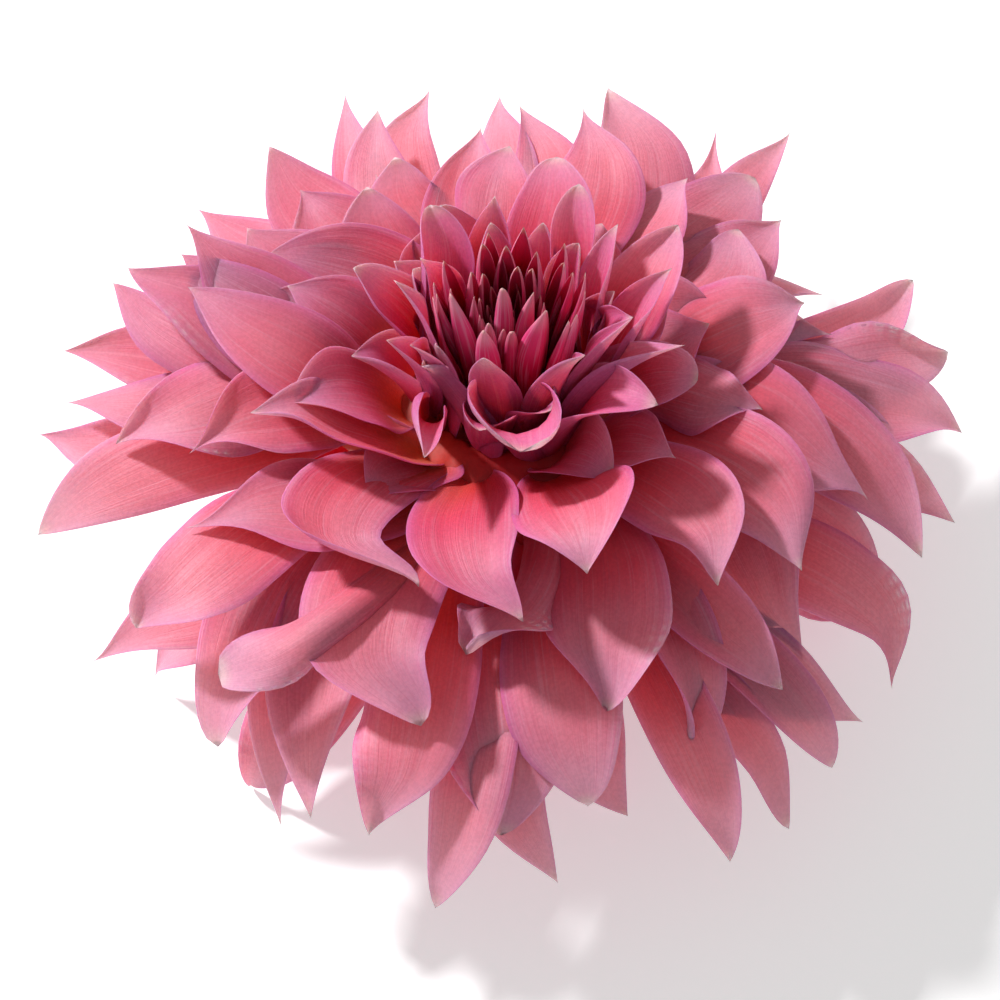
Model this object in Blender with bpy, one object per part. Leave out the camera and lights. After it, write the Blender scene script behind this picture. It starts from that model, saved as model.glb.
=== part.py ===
"""A picked dahlia bloom that lies face up on its cut stem and its lowest petals.

The bloom stands on +Z. The origin is the middle of the stem's cut end, and z = 0 is the surface that
it rests on. Every floret sits on one spiral: it starts at the eye and turns by the golden angle
from each floret to the next. A floret's layer says how far out it is, from 12 at the eye to -1 under
the bloom, and its size, reach and form follow from its layer. The petals that are seen plainly from
the front are then turned to where they are seen.
"""
import math
from typing import NamedTuple

import bmesh
import bpy
import numpy as np

MM = 0.001

# Driving dimensions
GOLDEN_TURN = math.radians(137.50776)
FIRST_TURN = math.radians(225.0)
SHUT_FLORETS = 68
ALL_FLORETS = 204
EYE_LAYER = 12.0
LAST_SHUT_LAYER = 8.6
FIRST_OPEN_LAYER = 8.4
HEART_EDGE_LAYER = 8.5
LOWEST_LAYER = -1.0
SEED = 7
PETAL_THICKNESS = 1.6 * MM
FLORET_THICKNESS = 1.3 * MM
TABLE_CLEARANCE = 0.2 * MM
TABLE_EASE = 2.0 * MM
HEART_RADIUS = 14.6 * MM
HEART_FLARE = 0.06
HEART_GAP = 0.6 * MM
HEART_EASE = 1.6 * MM
HEART_BASE = 62.0 * MM
HEART_DOME = 9.0 * MM
CORE_RADIUS = 40.0 * MM
CORE_BOTTOM = 42.0 * MM
CALYX_TOP = 41.7 * MM
CALYX_BOTTOM = 33.0 * MM
CALYX_RADIUS = 13.0 * MM
BRACTS = 8
BRACT_LENGTH = 21.0 * MM
BRACT_WIDTH = 9.0 * MM
BRACT_THICKNESS = 1.8 * MM
STEM_RADIUS = 4.4 * MM
STEM_FOOT_RADIUS = 4.9 * MM
SEAM = 0.3 * MM
CORE_SIDES = 28
LEAST_BODY = 1.0 * MM**3
PETAL_STATIONS = (0.0, 0.25, 0.47, 0.68, 0.86, 1.0)
SMALL_PETAL_STATIONS = (0.0, 0.33, 0.62, 0.85, 1.0)
SHUT_STATIONS = (0.0, 0.38, 0.72, 1.0)
FOLDED_FROM_LAYER = 6.6
SMALL_FROM_LAYER = 6.6
HIDDEN_BELOW_LAYER = 0.4

# Form by layer, in millimetres, degrees and, for the folds, radians from midrib to edge
LAYER = [12.0, 11.2, 10.3, 9.4, 8.6, 8.2, 7.0, 6.0, 5.0, 4.0, 3.0, 2.0, 1.0, 0.0, -1.0]
FORM = {
    "root_out": [0.8, 4.0, 7.5, 10.0, 12.0, 18.5, 19.0, 19.5, 20.5, 21.5, 22.5, 23.0, 23.5, 24.0, 23.0],
    "root_up": [69.0, 68.5, 67.5, 66.5, 64.5, 60.0, 59.0, 58.0, 57.0, 55.5, 54.0, 52.0, 50.0, 47.5, 46.0],
    "tip_out": [1.0, 4.0, 7.5, 11.0, 14.5, 22.0, 35.0, 51.0, 64.0, 79.0, 93.0, 104.0, 111.0, 98.0, 84.0],
    "tip_up": [88.0, 91.0, 98.0, 105.0, 107.0, 104.0, 96.0, 86.0, 76.0, 66.0, 56.0, 46.0, 36.0, 9.0, -5.0],
    "rise_root": [90, 90, 90, 90, 90, 88, 76, 62, 50, 38, 26, 14, 2, -16, -35],
    "rise_tip": [90, 95, 98, 100, 97, 72, 30, -4, -18, -28, -34, -38, -42, -50, -58],
    "width": [2.2, 3.6, 6.0, 9.0, 12.0, 14.0, 17.5, 20.5, 23.0, 25.0, 26.0, 26.0, 25.0, 24.0, 23.0],
    "fold_root": [2.6, 2.6, 2.6, 2.6, 2.5, 1.4, 1.6, 1.8, 1.7, 1.6, 1.6, 1.6, 1.6, 1.6, 1.6],
    "fold_mid": [2.6, 2.6, 2.5, 2.4, 2.1, 1.7, 1.4, 0.8, 0.1, -0.2, -0.3, -0.35, -0.35, -0.3, -0.2],
    "fold_tip": [2.5, 2.5, 2.3, 2.1, 1.8, 1.6, 1.4, 1.0, 0.8, 0.8, 0.9, 1.0, 1.0, 1.0, 0.8],
}
LENGTHS = ("root_out", "root_up", "tip_out", "tip_up", "width")
ANGLES = ("rise_root", "rise_tip")

# Line of sight: the bloom is seen from the front and above, in a square view of 1000 by 1000 steps
VIEW_RISE = math.radians(60.0)
VIEW_DISTANCE = 500.0 * MM
VIEW_AIM = np.array([-2.0, 3.0, 9.0]) * MM
VIEW_MIDDLE = 500.0
VIEW_REACH = 2008.0


class Seen(NamedTuple):
    """A petal where it is seen: its layer, its middle and its tip in view steps, and how it differs."""

    layer: float
    middle: tuple
    tip: tuple
    wide: float = 1.0
    roll: float = 0.0
    twist: float = 0.0
    hook: float = 0.0
    fold: float = 0.0
    pinch: float = 0.0
    tail: float = 1.0
    crook: float = 0.0
    lift: float = 0.0
    heading: float | None = None


SEEN_PETALS = [
    Seen(1.3, (460, 800), (435, 908), wide=0.8, twist=20),
    Seen(1.0, (540, 835), (558, 883), wide=0.75),
    Seen(2.0, (500, 770), (503, 835), tail=0.5),
    Seen(3.0, (570, 715), (588, 806), wide=1.05),
    Seen(4.0, (603, 625), (605, 712), wide=1.1, tail=0.6),
    Seen(3.0, (672, 690), (688, 748), wide=0.6, fold=1.0, pinch=1.0, tail=0.5),
    Seen(1.6, (690, 780), (730, 862), wide=0.6, fold=0.6, tail=0.6),
    Seen(1.0, (740, 765), (789, 829), wide=0.55, fold=0.8, tail=0.5),
    Seen(1.0, (790, 725), (832, 768), wide=0.6, fold=1.0, tail=0.6),
    Seen(2.0, (775, 690), (863, 722), fold=0.4),
    Seen(3.6, (715, 630), (783, 690), wide=0.8, fold=1.4, hook=0.4),
    Seen(1.6, (845, 650), (892, 690), wide=0.9),
    Seen(3.0, (785, 610), (803, 668), wide=0.95),
    Seen(2.0, (850, 585), (882, 607), wide=0.9, roll=25),
    Seen(4.6, (745, 500), (802, 571), wide=1.15, tail=0.8),
    Seen(4.0, (800, 455), (868, 500), fold=0.3),
    Seen(3.0, (870, 495), (922, 558)),
    Seen(1.6, (905, 500), (955, 523), wide=0.8),
    Seen(2.0, (905, 425), (962, 433)),
    Seen(3.0, (850, 410), (896, 438)),
    Seen(2.0, (880, 375), (948, 352), pinch=0.5),
    Seen(5.0, (715, 385), (763, 410), roll=-12),
    Seen(1.3, (870, 320), (913, 280), wide=0.9, fold=1.5),
    Seen(4.4, (745, 320), (805, 303), wide=1.05, hook=-0.4),
    Seen(3.0, (800, 300), (833, 335), hook=-0.5),
    Seen(2.0, (785, 265), (823, 295), hook=-0.4),
    Seen(4.0, (705, 260), (738, 229), roll=-20, tail=0.7),
    Seen(3.0, (725, 200), (755, 178), tail=0.6),
    Seen(4.0, (655, 205), (688, 178), roll=-18, tail=0.7),
    Seen(6.0, (650, 255), (678, 225), fold=0.3, tail=0.7),
    Seen(7.0, (650, 300), (672, 268), fold=0.5, hook=0.5),
    Seen(7.6, (628, 345), (633, 317), wide=0.7),
    Seen(1.6, (755, 180), (790, 133), wide=0.65),
    Seen(1.0, (705, 160), (717, 128), wide=0.6),
    Seen(2.0, (655, 165), (662, 135), wide=0.8),
    Seen(3.0, (618, 150), (608, 88), wide=1.05),
    Seen(4.0, (580, 165), (583, 107)),
    Seen(6.0, (545, 205), (557, 157), tail=0.7),
    Seen(7.0, (578, 225), (579, 184), fold=0.4),
    Seen(7.5, (603, 260), (618, 224), wide=0.85, fold=0.4),
    Seen(3.0, (535, 140), (519, 105), wide=0.8),
    Seen(2.6, (500, 130), (500, 95), wide=0.7),
    Seen(5.0, (505, 180), (510, 146)),
    Seen(4.5, (475, 165), (481, 127), fold=0.4),
    Seen(2.0, (425, 130), (430, 88), wide=0.75),
    Seen(4.5, (420, 195), (395, 157)),
    Seen(3.0, (385, 150), (378, 110), wide=0.8),
    Seen(2.0, (360, 145), (345, 93), wide=0.6, fold=0.9),
    Seen(5.0, (395, 230), (367, 187)),
    Seen(7.0, (445, 250), (430, 205), fold=0.4),
    Seen(7.0, (492, 225), (495, 196), fold=0.5, hook=0.6),
    Seen(7.0, (385, 265), (353, 268)),
    Seen(3.5, (325, 205), (300, 190)),
    Seen(3.0, (270, 240), (247, 228), lift=8),
    Seen(2.0, (310, 175), (269, 146), wide=0.9, lift=16),
    Seen(4.5, (320, 250), (268, 255), tail=0.7),
    Seen(3.2, (240, 255), (186, 224), lift=18),
    Seen(2.8, (210, 280), (181, 254), wide=0.85, lift=14),
    Seen(2.4, (165, 305), (128, 268), wide=0.9, lift=18),
    Seen(1.6, (140, 315), (113, 283), wide=0.75, lift=12),
    Seen(1.0, (120, 350), (63, 351), wide=0.9, lift=12),
    Seen(4.2, (280, 330), (188, 287), wide=1.3, lift=20),
    Seen(5.0, (330, 310), (269, 295)),
    Seen(5.6, (325, 290), (287, 286)),
    Seen(6.0, (345, 375), (292, 402), hook=-0.4),
    Seen(6.0, (310, 430), (250, 413), roll=15, hook=0.8),
    Seen(4.5, (255, 420), (189, 454)),
    Seen(3.0, (185, 410), (116, 444)),
    Seen(1.6, (110, 400), (65, 403), wide=0.85),
    Seen(0.8, (90, 440), (38, 435), wide=0.7),
    Seen(2.0, (120, 495), (38, 535), wide=0.85, tail=0.8),
    Seen(4.3, (260, 520), (185, 528), wide=1.2, crook=0.05, roll=8),
    Seen(3.0, (195, 580), (136, 628), wide=0.95, tail=0.6),
    Seen(1.0, (150, 640), (92, 662), wide=0.8),
    Seen(3.6, (275, 640), (218, 674), wide=0.95, fold=-2.3, tail=0.4),
    Seen(2.0, (225, 700), (218, 747), wide=0.85, hook=0.7, fold=0.6, tail=0.7),
    Seen(1.0, (262, 780), (281, 826), wide=0.75),
    Seen(2.0, (285, 760), (311, 819), wide=0.95, tail=0.7),
    Seen(2.5, (390, 760), (369, 835), crook=-0.05),
    Seen(4.0, (412, 640), (421, 726), wide=1.2, crook=0.13, tail=0.85),
    Seen(5.2, (380, 520), (419, 587), wide=1.3, tail=0.9, crook=0.36),
    Seen(5.5, (490, 530), (523, 622), wide=1.1, pinch=0.4, crook=0.1),
    Seen(4.0, (500, 610), (466, 655), fold=-2.9, pinch=1.4, hook=0.3, tail=0.3),
    Seen(6.2, (570, 490), (587, 574), wide=1.25, fold=-0.9, tail=0.8, roll=-12),
    Seen(5.0, (665, 500), (718, 586), wide=1.15, tail=0.8, crook=-0.06),
    Seen(7.0, (525, 410), (520, 452), wide=1.5, fold=0.2, pinch=0.8, tail=0.6),
    Seen(6.8, (455, 410), (425, 362), wide=0.95, heading=-88, roll=12, tail=0.4),
    Seen(7.0, (415, 425), (440, 460), wide=0.8, fold=0.8),
    Seen(8.0, (425, 365), (410, 345), wide=0.9),
    Seen(8.0, (490, 380), (485, 355), wide=0.9),
    Seen(8.0, (575, 390), (585, 355), wide=0.9),
    Seen(7.0, (640, 375), (685, 345), roll=-25),
    Seen(6.8, (620, 395), (658, 405)),
    Seen(8.2, (619, 364), (633, 317), wide=0.9),
    Seen(8.2, (409, 364), (394, 280)),
    Seen(8.2, (430, 285), (421, 258), wide=0.9),
]
SEEN_SHUT = [
    Seen(9.0, (472, 353), (449, 293), wide=1.1),
    Seen(9.4, (503, 347), (502, 288)),
    Seen(9.3, (521, 364), (534, 292)),
    Seen(8.9, (543, 394), (546, 310), wide=1.15),
    Seen(9.2, (569, 353), (572, 323)),
    Seen(9.4, (586, 345), (582, 317)),
    Seen(9.0, (600, 376), (594, 326)),
    Seen(9.1, (605, 323), (589, 272)),
    Seen(9.5, (595, 330), (589, 291)),
    Seen(9.0, (425, 340), (414, 301)),
    Seen(9.3, (428, 310), (430, 282)),
    Seen(9.5, (440, 325), (434, 294)),
    Seen(9.6, (452, 320), (450, 288)),
    Seen(9.8, (478, 320), (474, 296)),
    Seen(9.2, (483, 270), (482, 243)),
    Seen(9.2, (508, 275), (506, 245)),
    Seen(9.4, (540, 280), (537, 251)),
    Seen(9.3, (570, 280), (566, 242)),
    Seen(9.6, (580, 300), (574, 272)),
    Seen(9.7, (518, 290), (518, 266)),
    Seen(9.8, (562, 290), (565, 262)),
    Seen(9.2, (445, 285), (442, 260)),
]

# How far a petal's blade keeps to its own heading before it swings to its tip
SWING_POWER = 2.2
MOST_SWING = math.radians(16.0)
LAYER_COST = 16.0 * MM
HOOK_AT_TIP = 0.67

# How far a seen petal's middle lies under its tip near the heart and above it further out, and how
# much of its random roll, twist and hook it keeps
INNER_LAYER = 7.5
INNER_MIDDLE_UNDER_TIP = 12.0 * MM
MIDDLE_ABOVE_TIP = 3.0 * MM
RANDOM_KEPT = 0.4

# How the bloom leans: petals nod to the front, rise at the back, and stand highest on its high side.
# The high side lifts the outer petals in full and fades out over the layers towards the heart.
NOD = math.radians(12.0)
FACING = math.radians(14.0)
FACING_TURN = math.radians(40.0)
BACK_LIFT = math.radians(30.0)
HIGH_SIDE = math.radians(150.0)
TILT_UP = 12.0 * MM
TILT_RISE = math.radians(12.0)
TILT_INNERMOST = 6.0
TILT_FADE = 3.0
TILT_FROM = 1.5
LIFT_RISE = math.radians(1.2)

# How much shorter and lower the petals are that aren't seen plainly, from this layer inwards, and
# the least share of its width that a closely folded blade keeps across
SHORT_ABOVE_LAYER = 3.5
SHORTER = 0.32
LOWER = 7.0 * MM
NARROWEST = 0.12


def interp_form(name, layer):
    """A form value at a layer, in metres or radians where it is a length or an angle."""
    value = np.interp(-np.asarray(layer), [-knot for knot in LAYER], FORM[name])
    if name in LENGTHS:
        return value * MM
    return np.radians(value) if name in ANGLES else value


def tilted(turn, layer):
    """How far the leaning bloom lifts a petal's tip, from -1 at its low side to 1 at its high side."""
    layer = np.asarray(layer, float)
    inner_share = np.clip((TILT_INNERMOST - layer) / TILT_FADE, 0.0, 1.0)
    taking_part = inner_share * np.clip(layer / TILT_FROM, 0.0, 1.0)
    return np.cos(turn - HIGH_SIDE) * taking_part


def sight_axes():
    """The view's own axes: from the bloom back to the eye, up in the view, and the eye's place."""
    back = np.array([0.0, -math.cos(VIEW_RISE), math.sin(VIEW_RISE)])
    up = np.array([0.0, math.sin(VIEW_RISE), math.cos(VIEW_RISE)])
    return back, up, VIEW_AIM + VIEW_DISTANCE * back


def seen_at(place, height):
    """The point at a height above the table that is seen at a place in the view."""
    back, up, eye = sight_axes()
    right = np.array([1.0, 0.0, 0.0])
    across = (place[0] - VIEW_MIDDLE) / VIEW_REACH
    down = (place[1] - VIEW_MIDDLE) / VIEW_REACH
    ray = across * right - down * up - back
    return eye + (height - eye[2]) / ray[2] * ray


def spiral_layers():
    """The layer of each floret on the spiral, from the eye outwards."""
    shut = np.linspace(EYE_LAYER, LAST_SHUT_LAYER, SHUT_FLORETS)
    opened = np.linspace(FIRST_OPEN_LAYER, LOWEST_LAYER, ALL_FLORETS - SHUT_FLORETS)
    return np.concatenate([shut, opened])


def draw_florets():
    """The form of every floret: its layer's values, varied a little at random."""
    rng = np.random.default_rng(SEED)
    layer = spiral_layers()
    count = len(layer)
    floret = {name: interp_form(name, layer) for name in FORM}
    opened = np.clip((HEART_EDGE_LAYER - layer) / 2.5, 0.0, 1.0)
    floret["layer"] = layer
    floret["turn"] = FIRST_TURN + np.arange(count) * GOLDEN_TURN
    floret["turn"] += rng.normal(0, math.radians(2), count) * opened
    floret["tip_out"] *= 1 + rng.normal(0, 0.045, count)
    floret["tip_up"] += rng.normal(0, 2.2 * MM, count) * (0.4 + 0.6 * opened)
    floret["tip_up"] += TILT_UP * tilted(floret["turn"], layer)
    floret["width"] *= 1 + rng.normal(0, 0.06, count)
    floret["rise_root"] += rng.normal(0, math.radians(4), count) * opened
    floret["rise_tip"] += rng.normal(0, math.radians(12), count) * opened
    floret["side"] = rng.normal(0, 4.5 * MM, count) * opened + rng.normal(0, 0.5 * MM, count)
    floret["twist"] = rng.normal(0, math.radians(28), count) * opened
    floret["roll"] = rng.normal(0, math.radians(7), count) * opened
    floret["hook"] = rng.normal(0.05, 0.5, count) * opened
    floret["fold_mid"] += rng.normal(0, 0.22, count) * opened
    floret["fold_tip"] += rng.normal(0, 0.5, count) * opened
    floret["tail"] = rng.uniform(0.75, 1.9, count) * (1 - 0.3 * np.clip((layer - 4.5) / 2.5, 0.0, 1.0))
    floret["crook"] = np.zeros(count)
    return floret


def swing_heading(root_turn, middle, tip):
    """The heading on which a blade that swings to its tip still passes under its seen middle."""
    share = np.hypot(*middle[:2]) / (np.hypot(*middle[:2]) + np.hypot(*(tip - middle)[:2]))
    aim = middle[:2] - share**SWING_POWER * tip[:2]
    straight = math.atan2(middle[1], middle[0])
    off = (math.atan2(aim[1], aim[0]) - straight + math.pi) % (2 * math.pi) - math.pi
    return straight + min(max(off, -MOST_SWING), MOST_SWING)


def tip_height(seen):
    """The height of a seen petal's tip: its layer's, with its own lift and the lean of the bloom."""
    height = float(interp_form("tip_up", seen.layer))
    level = seen_at(seen.tip, height)
    return height + seen.lift * MM + TILT_UP * float(tilted(math.atan2(level[1], level[0]), seen.layer))


def place_seen(floret, index, seen):
    """Turns one floret to where it is seen and gives it its own roll, twist, hook and fold."""
    shut = seen.layer > LAST_SHUT_LAYER
    height = tip_height(seen)
    tip = seen_at(seen.tip, height)
    inner = seen.layer > INNER_LAYER
    middle = seen_at(seen.middle, height - INNER_MIDDLE_UNDER_TIP if inner else height + MIDDLE_ABOVE_TIP)
    if seen.heading is not None:
        turn = math.radians(seen.heading)
    elif shut:
        turn = math.atan2(tip[1] + middle[1], tip[0] + middle[0])
    else:
        turn = swing_heading(floret["turn"][index], middle, tip)
    for name in FORM:
        if not name.startswith("root"):
            own = interp_form(name, floret["layer"][index])
            floret[name][index] += interp_form(name, seen.layer) - own
    floret["turn"][index] = turn
    floret["tip_out"][index] = tip[0] * math.cos(turn) + tip[1] * math.sin(turn)
    floret["side"][index] = tip[1] * math.cos(turn) - tip[0] * math.sin(turn)
    floret["tip_up"][index] = height
    floret["width"][index] *= seen.wide
    floret["roll"][index] = RANDOM_KEPT * floret["roll"][index] + math.radians(seen.roll)
    floret["twist"][index] = RANDOM_KEPT * floret["twist"][index] + math.radians(seen.twist)
    floret["hook"][index] = RANDOM_KEPT * floret["hook"][index] + seen.hook
    floret["fold_mid"][index] += seen.fold
    floret["fold_tip"][index] += seen.pinch
    floret["rise_root"][index] += LIFT_RISE * seen.lift
    floret["rise_tip"][index] += LIFT_RISE * seen.lift
    floret["tail"][index] *= seen.tail
    floret["crook"][index] += seen.crook


def take_places(floret, seen_petals, free):
    """Gives each seen petal the nearest free floret of about its own layer."""
    reach = floret["tip_out"]
    x, y = reach * np.cos(floret["turn"]), reach * np.sin(floret["turn"])
    layer = floret["layer"].copy()
    for seen in sorted(seen_petals, key=lambda petal: -petal.layer):
        tip = seen_at(seen.tip, tip_height(seen))
        cost = np.hypot(x - tip[0], y - tip[1]) + LAYER_COST * np.abs(layer - seen.layer)
        index = int(np.argmin(np.where(free, cost, np.inf)))
        free[index] = False
        place_seen(floret, index, seen)


def all_florets():
    """Every floret of the bloom, with the seen ones in their places."""
    floret = draw_florets()
    shut = floret["layer"] > HEART_EDGE_LAYER
    take_places(floret, SEEN_SHUT, shut.copy())
    free = ~shut
    take_places(floret, SEEN_PETALS, free)
    short = free & (floret["layer"] > SHORT_ABOVE_LAYER)
    floret["tip_out"][short] -= SHORTER * (floret["tip_out"] - floret["root_out"])[short]
    floret["tip_up"][short] -= LOWER
    return lean_over(floret)


def lean_over(floret):
    """Lets the open petals lean as the bloom does, and turn their faces a little to the front."""
    turn, layer = floret["turn"], floret["layer"]
    opened = np.clip((8.0 - layer) / 2.0, 0.0, 1.0)
    lean = NOD * np.sin(turn) * opened
    tilt = TILT_RISE * tilted(turn, layer)
    lift = BACK_LIFT * smooth(np.sin(turn), -0.15, 0.6) * np.clip((7.5 - layer) / 2.0, 0.0, 1.0)
    floret["rise_root"] += 0.5 * (lean + tilt)
    floret["rise_tip"] += lean + tilt + lift
    floret["roll"] += FACING * np.cos(turn + FACING_TURN) * opened
    return floret


def smooth(value, low, high):
    """A smooth step from 0 at low to 1 at high."""
    share = np.clip((value - low) / (high - low), 0.0, 1.0)
    return share * share * (3 - 2 * share)


def blade_width(s, tail, claw=0.14, widest=0.58):
    """Half width along a petal, as a share of its widest: a narrow claw, a broad blade, a drawn-out tip."""
    claw_part = claw + (1 - claw) * np.sin(np.pi / 2 * np.clip(s / widest, 0, 1)) ** 1.5
    tip_share = np.clip((s - widest) / (1 - widest), 0, 1)
    return np.where(s < widest, claw_part, (1 - tip_share**2.3) ** tail)


def centre_line(one, s):
    """A petal's midrib: a cubic from root to tip on its heading, which drifts to its side."""
    run, rise = one["tip_out"] - one["root_out"], one["tip_up"] - one["root_up"]
    chord = math.hypot(run, rise)
    arm = 0.36 * chord
    out_points = (
        one["root_out"],
        one["root_out"] + arm * math.cos(one["rise_root"]),
        one["tip_out"] - arm * math.cos(one["rise_tip"]),
        one["tip_out"],
    )
    up_points = (
        one["root_up"],
        one["root_up"] + arm * math.sin(one["rise_root"]),
        one["tip_up"] - arm * math.sin(one["rise_tip"]),
        one["tip_up"],
    )
    weights = ((1 - s) ** 3, 3 * s * (1 - s) ** 2, 3 * s**2 * (1 - s), s**3)
    out = sum(weight * point for weight, point in zip(weights, out_points))
    up = sum(weight * point for weight, point in zip(weights, up_points))
    line = np.stack([out, one["side"] * s**SWING_POWER, up], axis=-1)
    heading = np.array([run + 0.5 * chord, one["side"], 0.0])
    return line, heading / np.linalg.norm(heading), chord


def unit(vectors):
    """Vectors scaled to length 1."""
    return vectors / np.linalg.norm(vectors, axis=-1, keepdims=True)


def blade_frame(one, s):
    """The midrib's points with the blade's side and face directions, rolled, twisted, hooked and crooked."""
    line, heading, chord = centre_line(one, s)
    along = unit(np.gradient(line, s, axis=0))
    level = np.array([heading[1], -heading[0], 0.0])
    side = unit(level - (along @ level)[:, None] * along)
    face = np.cross(side, along)
    angle = (one["twist"] * s**1.8 + one["roll"] * smooth(s, 0.0, 0.4))[:, None]
    turned_face = np.cos(angle) * face + np.sin(angle) * side
    turned_side = np.cos(angle) * side - np.sin(angle) * face
    hook = one["hook"] * chord * 0.32 * (smooth(s, 0.6, 1.25) - HOOK_AT_TIP * s**2)
    crook = one["crook"] * chord * (smooth(s, 0.25, 0.8) - smooth(s, 0.8, 1.0))
    return line + hook[:, None] * turned_face + crook[:, None] * turned_side, turned_side, turned_face


def fold_edge(fold, steps=8):
    """Where a folded half blade's edge lies, across and up, for a half width of 1."""
    share = (np.arange(steps) + 0.5) / steps
    angle = fold[:, None] * (0.75 * share + 0.25 * share**3)
    return np.maximum(np.cos(angle).mean(axis=1), NARROWEST), np.sin(angle).mean(axis=1)


def blade_edges(one, s):
    """The midrib, left edge and right edge of a blade, and its face direction, in world space."""
    line, side, face = blade_frame(one, s)
    half = 0.5 * one["width"] * blade_width(s, one["tail"])
    fold = one["fold_root"] + (one["fold_mid"] - one["fold_root"]) * smooth(s, 0.0, 0.45)
    fold = fold + (one["fold_tip"] - one["fold_mid"]) * smooth(s, 0.66, 1.0)
    across, up = fold_edge(fold)
    lift = (half * up)[:, None] * face
    reach = (half * across)[:, None] * side
    turn = np.array([
        [math.cos(one["turn"]), math.sin(one["turn"]), 0.0],
        [-math.sin(one["turn"]), math.cos(one["turn"]), 0.0],
        [0.0, 0.0, 1.0],
    ])
    return line @ turn, (line - reach + lift) @ turn, (line + reach + lift) @ turn, face @ turn


def ease_above(value, least, ease):
    """Values kept above a least one by a smooth bend, which hardly moves those well above it."""
    over = value - least
    return least + (over + np.sqrt(over**2 + ease**2)) / 2


def above_table(points):
    """Points eased up so that a drooping petal lies along the table and never below it."""
    eased = points.copy()
    eased[:, 2] = ease_above(points[:, 2], TABLE_CLEARANCE, TABLE_EASE)
    return eased


def at_radius(points, radius, wanted):
    """Points moved straight out or in from one distance from Z to another."""
    moved = points.copy()
    moved[:, :2] *= (wanted / radius)[:, None]
    return moved


def radius_and_cone(points):
    """Each point's distance from Z, and the radius of the cone that parts the heart from the petals."""
    radius = np.maximum(np.hypot(points[:, 0], points[:, 1]), 0.01 * MM)
    return radius, HEART_RADIUS + HEART_FLARE * (points[:, 2] - HEART_BASE)


def outside_heart(points):
    """Points of an open petal, kept clear of the heart and above the table."""
    radius, cone = radius_and_cone(points)
    wanted = ease_above(radius, cone + HEART_GAP, HEART_EASE)
    return at_radius(above_table(points), radius, wanted)


def inside_heart(points):
    """Points of a shut floret, kept inside the heart."""
    radius, cone = radius_and_cone(points)
    wanted = np.maximum(-ease_above(-radius, HEART_GAP - cone, HEART_EASE), 0.3 * radius)
    return at_radius(points, radius, wanted)


def folded_section(edges, thickness, s):
    """Four rows of points for a blade that is folded along its midrib: edges, and midrib below and above."""
    middle, left, right, face = edges
    depth = (0.5 * thickness * (1 - 0.35 * s))[:, None] * face
    return left, middle - depth, right, middle + depth


def ridged_section(edges, thickness, s):
    """Three rows of points for a nearly flat blade: its edges and a low ridge, above it or below it."""
    middle, left, right, face = edges
    level = 0.5 * (left + right)
    rise = np.sum((middle - level) * face, axis=1)
    above = rise[len(s) // 2] > 0
    height = np.maximum(np.abs(rise), thickness * (1 - 0.35 * s)) * (1 if above else -1)
    ridge = level + height[:, None] * face
    return (left, right, ridge) if above else (left, ridge, right)


def blade_mesh(name, one, stations, thickness, section, settle):
    """One floret as a closed blade with a flat root and a pointed tip, its section's rows joined round."""
    s = np.array(stations)
    points = np.stack([settle(row) for row in section(blade_edges(one, s), thickness, s)], axis=1)
    tip = points[-1].mean(axis=0)
    rows, corners = len(s) - 1, points.shape[1]
    vertices = [tuple(point) for point in points[:-1].reshape(-1, 3)] + [tuple(tip)]
    faces = [tuple(range(corners))]
    for row in range(rows - 1):
        for corner in range(corners):
            a, b = corners * row + corner, corners * row + (corner + 1) % corners
            faces += [(a, a + corners, b + corners), (a, b + corners, b)]
    last = corners * (rows - 1)
    faces += [(last + corner, len(vertices) - 1, last + (corner + 1) % corners) for corner in range(corners)]
    mesh = bpy.data.meshes.new(name)
    mesh.from_pydata(vertices, [], faces)
    return mesh


def turned_mesh(name, profile, sides):
    """A closed solid turned round Z from a profile of (radius, height) that runs up, both ends on Z."""
    vertices = [(0.0, 0.0, profile[0][1])]
    for radius, height in profile[1:-1]:
        for step in range(sides):
            angle = 2 * math.pi * step / sides
            vertices.append((radius * math.cos(angle), radius * math.sin(angle), height))
    vertices.append((0.0, 0.0, profile[-1][1]))
    rows = len(profile) - 2
    top = len(vertices) - 1
    faces = []
    for step in range(sides):
        following = (step + 1) % sides
        faces.append((0, 1 + following, 1 + step))
        last = 1 + (rows - 1) * sides
        faces.append((last + step, last + following, top))
        for row in range(rows - 1):
            low = 1 + row * sides
            faces.append((low + step, low + following, low + sides + following, low + sides + step))
    mesh = bpy.data.meshes.new(name)
    mesh.from_pydata(vertices, [], faces)
    return mesh


def add_object(mesh, collection=None):
    """A scene object for a mesh, with its own name."""
    made = bpy.data.objects.new(mesh.name, mesh)
    (collection or bpy.context.scene.collection).objects.link(made)
    return made


def fill_pockets(mesh):
    """Deletes the inner walls that crossing blades leave round sealed pockets, so each pocket is filled."""
    shape = bmesh.new()
    shape.from_mesh(mesh)
    unseen = set(shape.verts)
    while unseen:
        reached = {unseen.pop()}
        edge = set(reached)
        while edge:
            edge = {link.other_vert(vertex) for vertex in edge for link in vertex.link_edges} - reached
            reached |= edge
        unseen -= reached
        faces = {face for vertex in reached for face in vertex.link_faces}
        if sum(face_volume(face) for face in faces) < LEAST_BODY:
            bmesh.ops.delete(shape, geom=list(reached), context="VERTS")
            unseen = {vertex for vertex in unseen if vertex.is_valid}
    shape.to_mesh(mesh)
    shape.free()


def face_volume(face):
    """A face's share of the volume of the body that it bounds."""
    first, *others = [vertex.co for vertex in face.verts]
    return sum(first.dot(a.cross(b)) for a, b in zip(others, others[1:])) / 6


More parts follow.
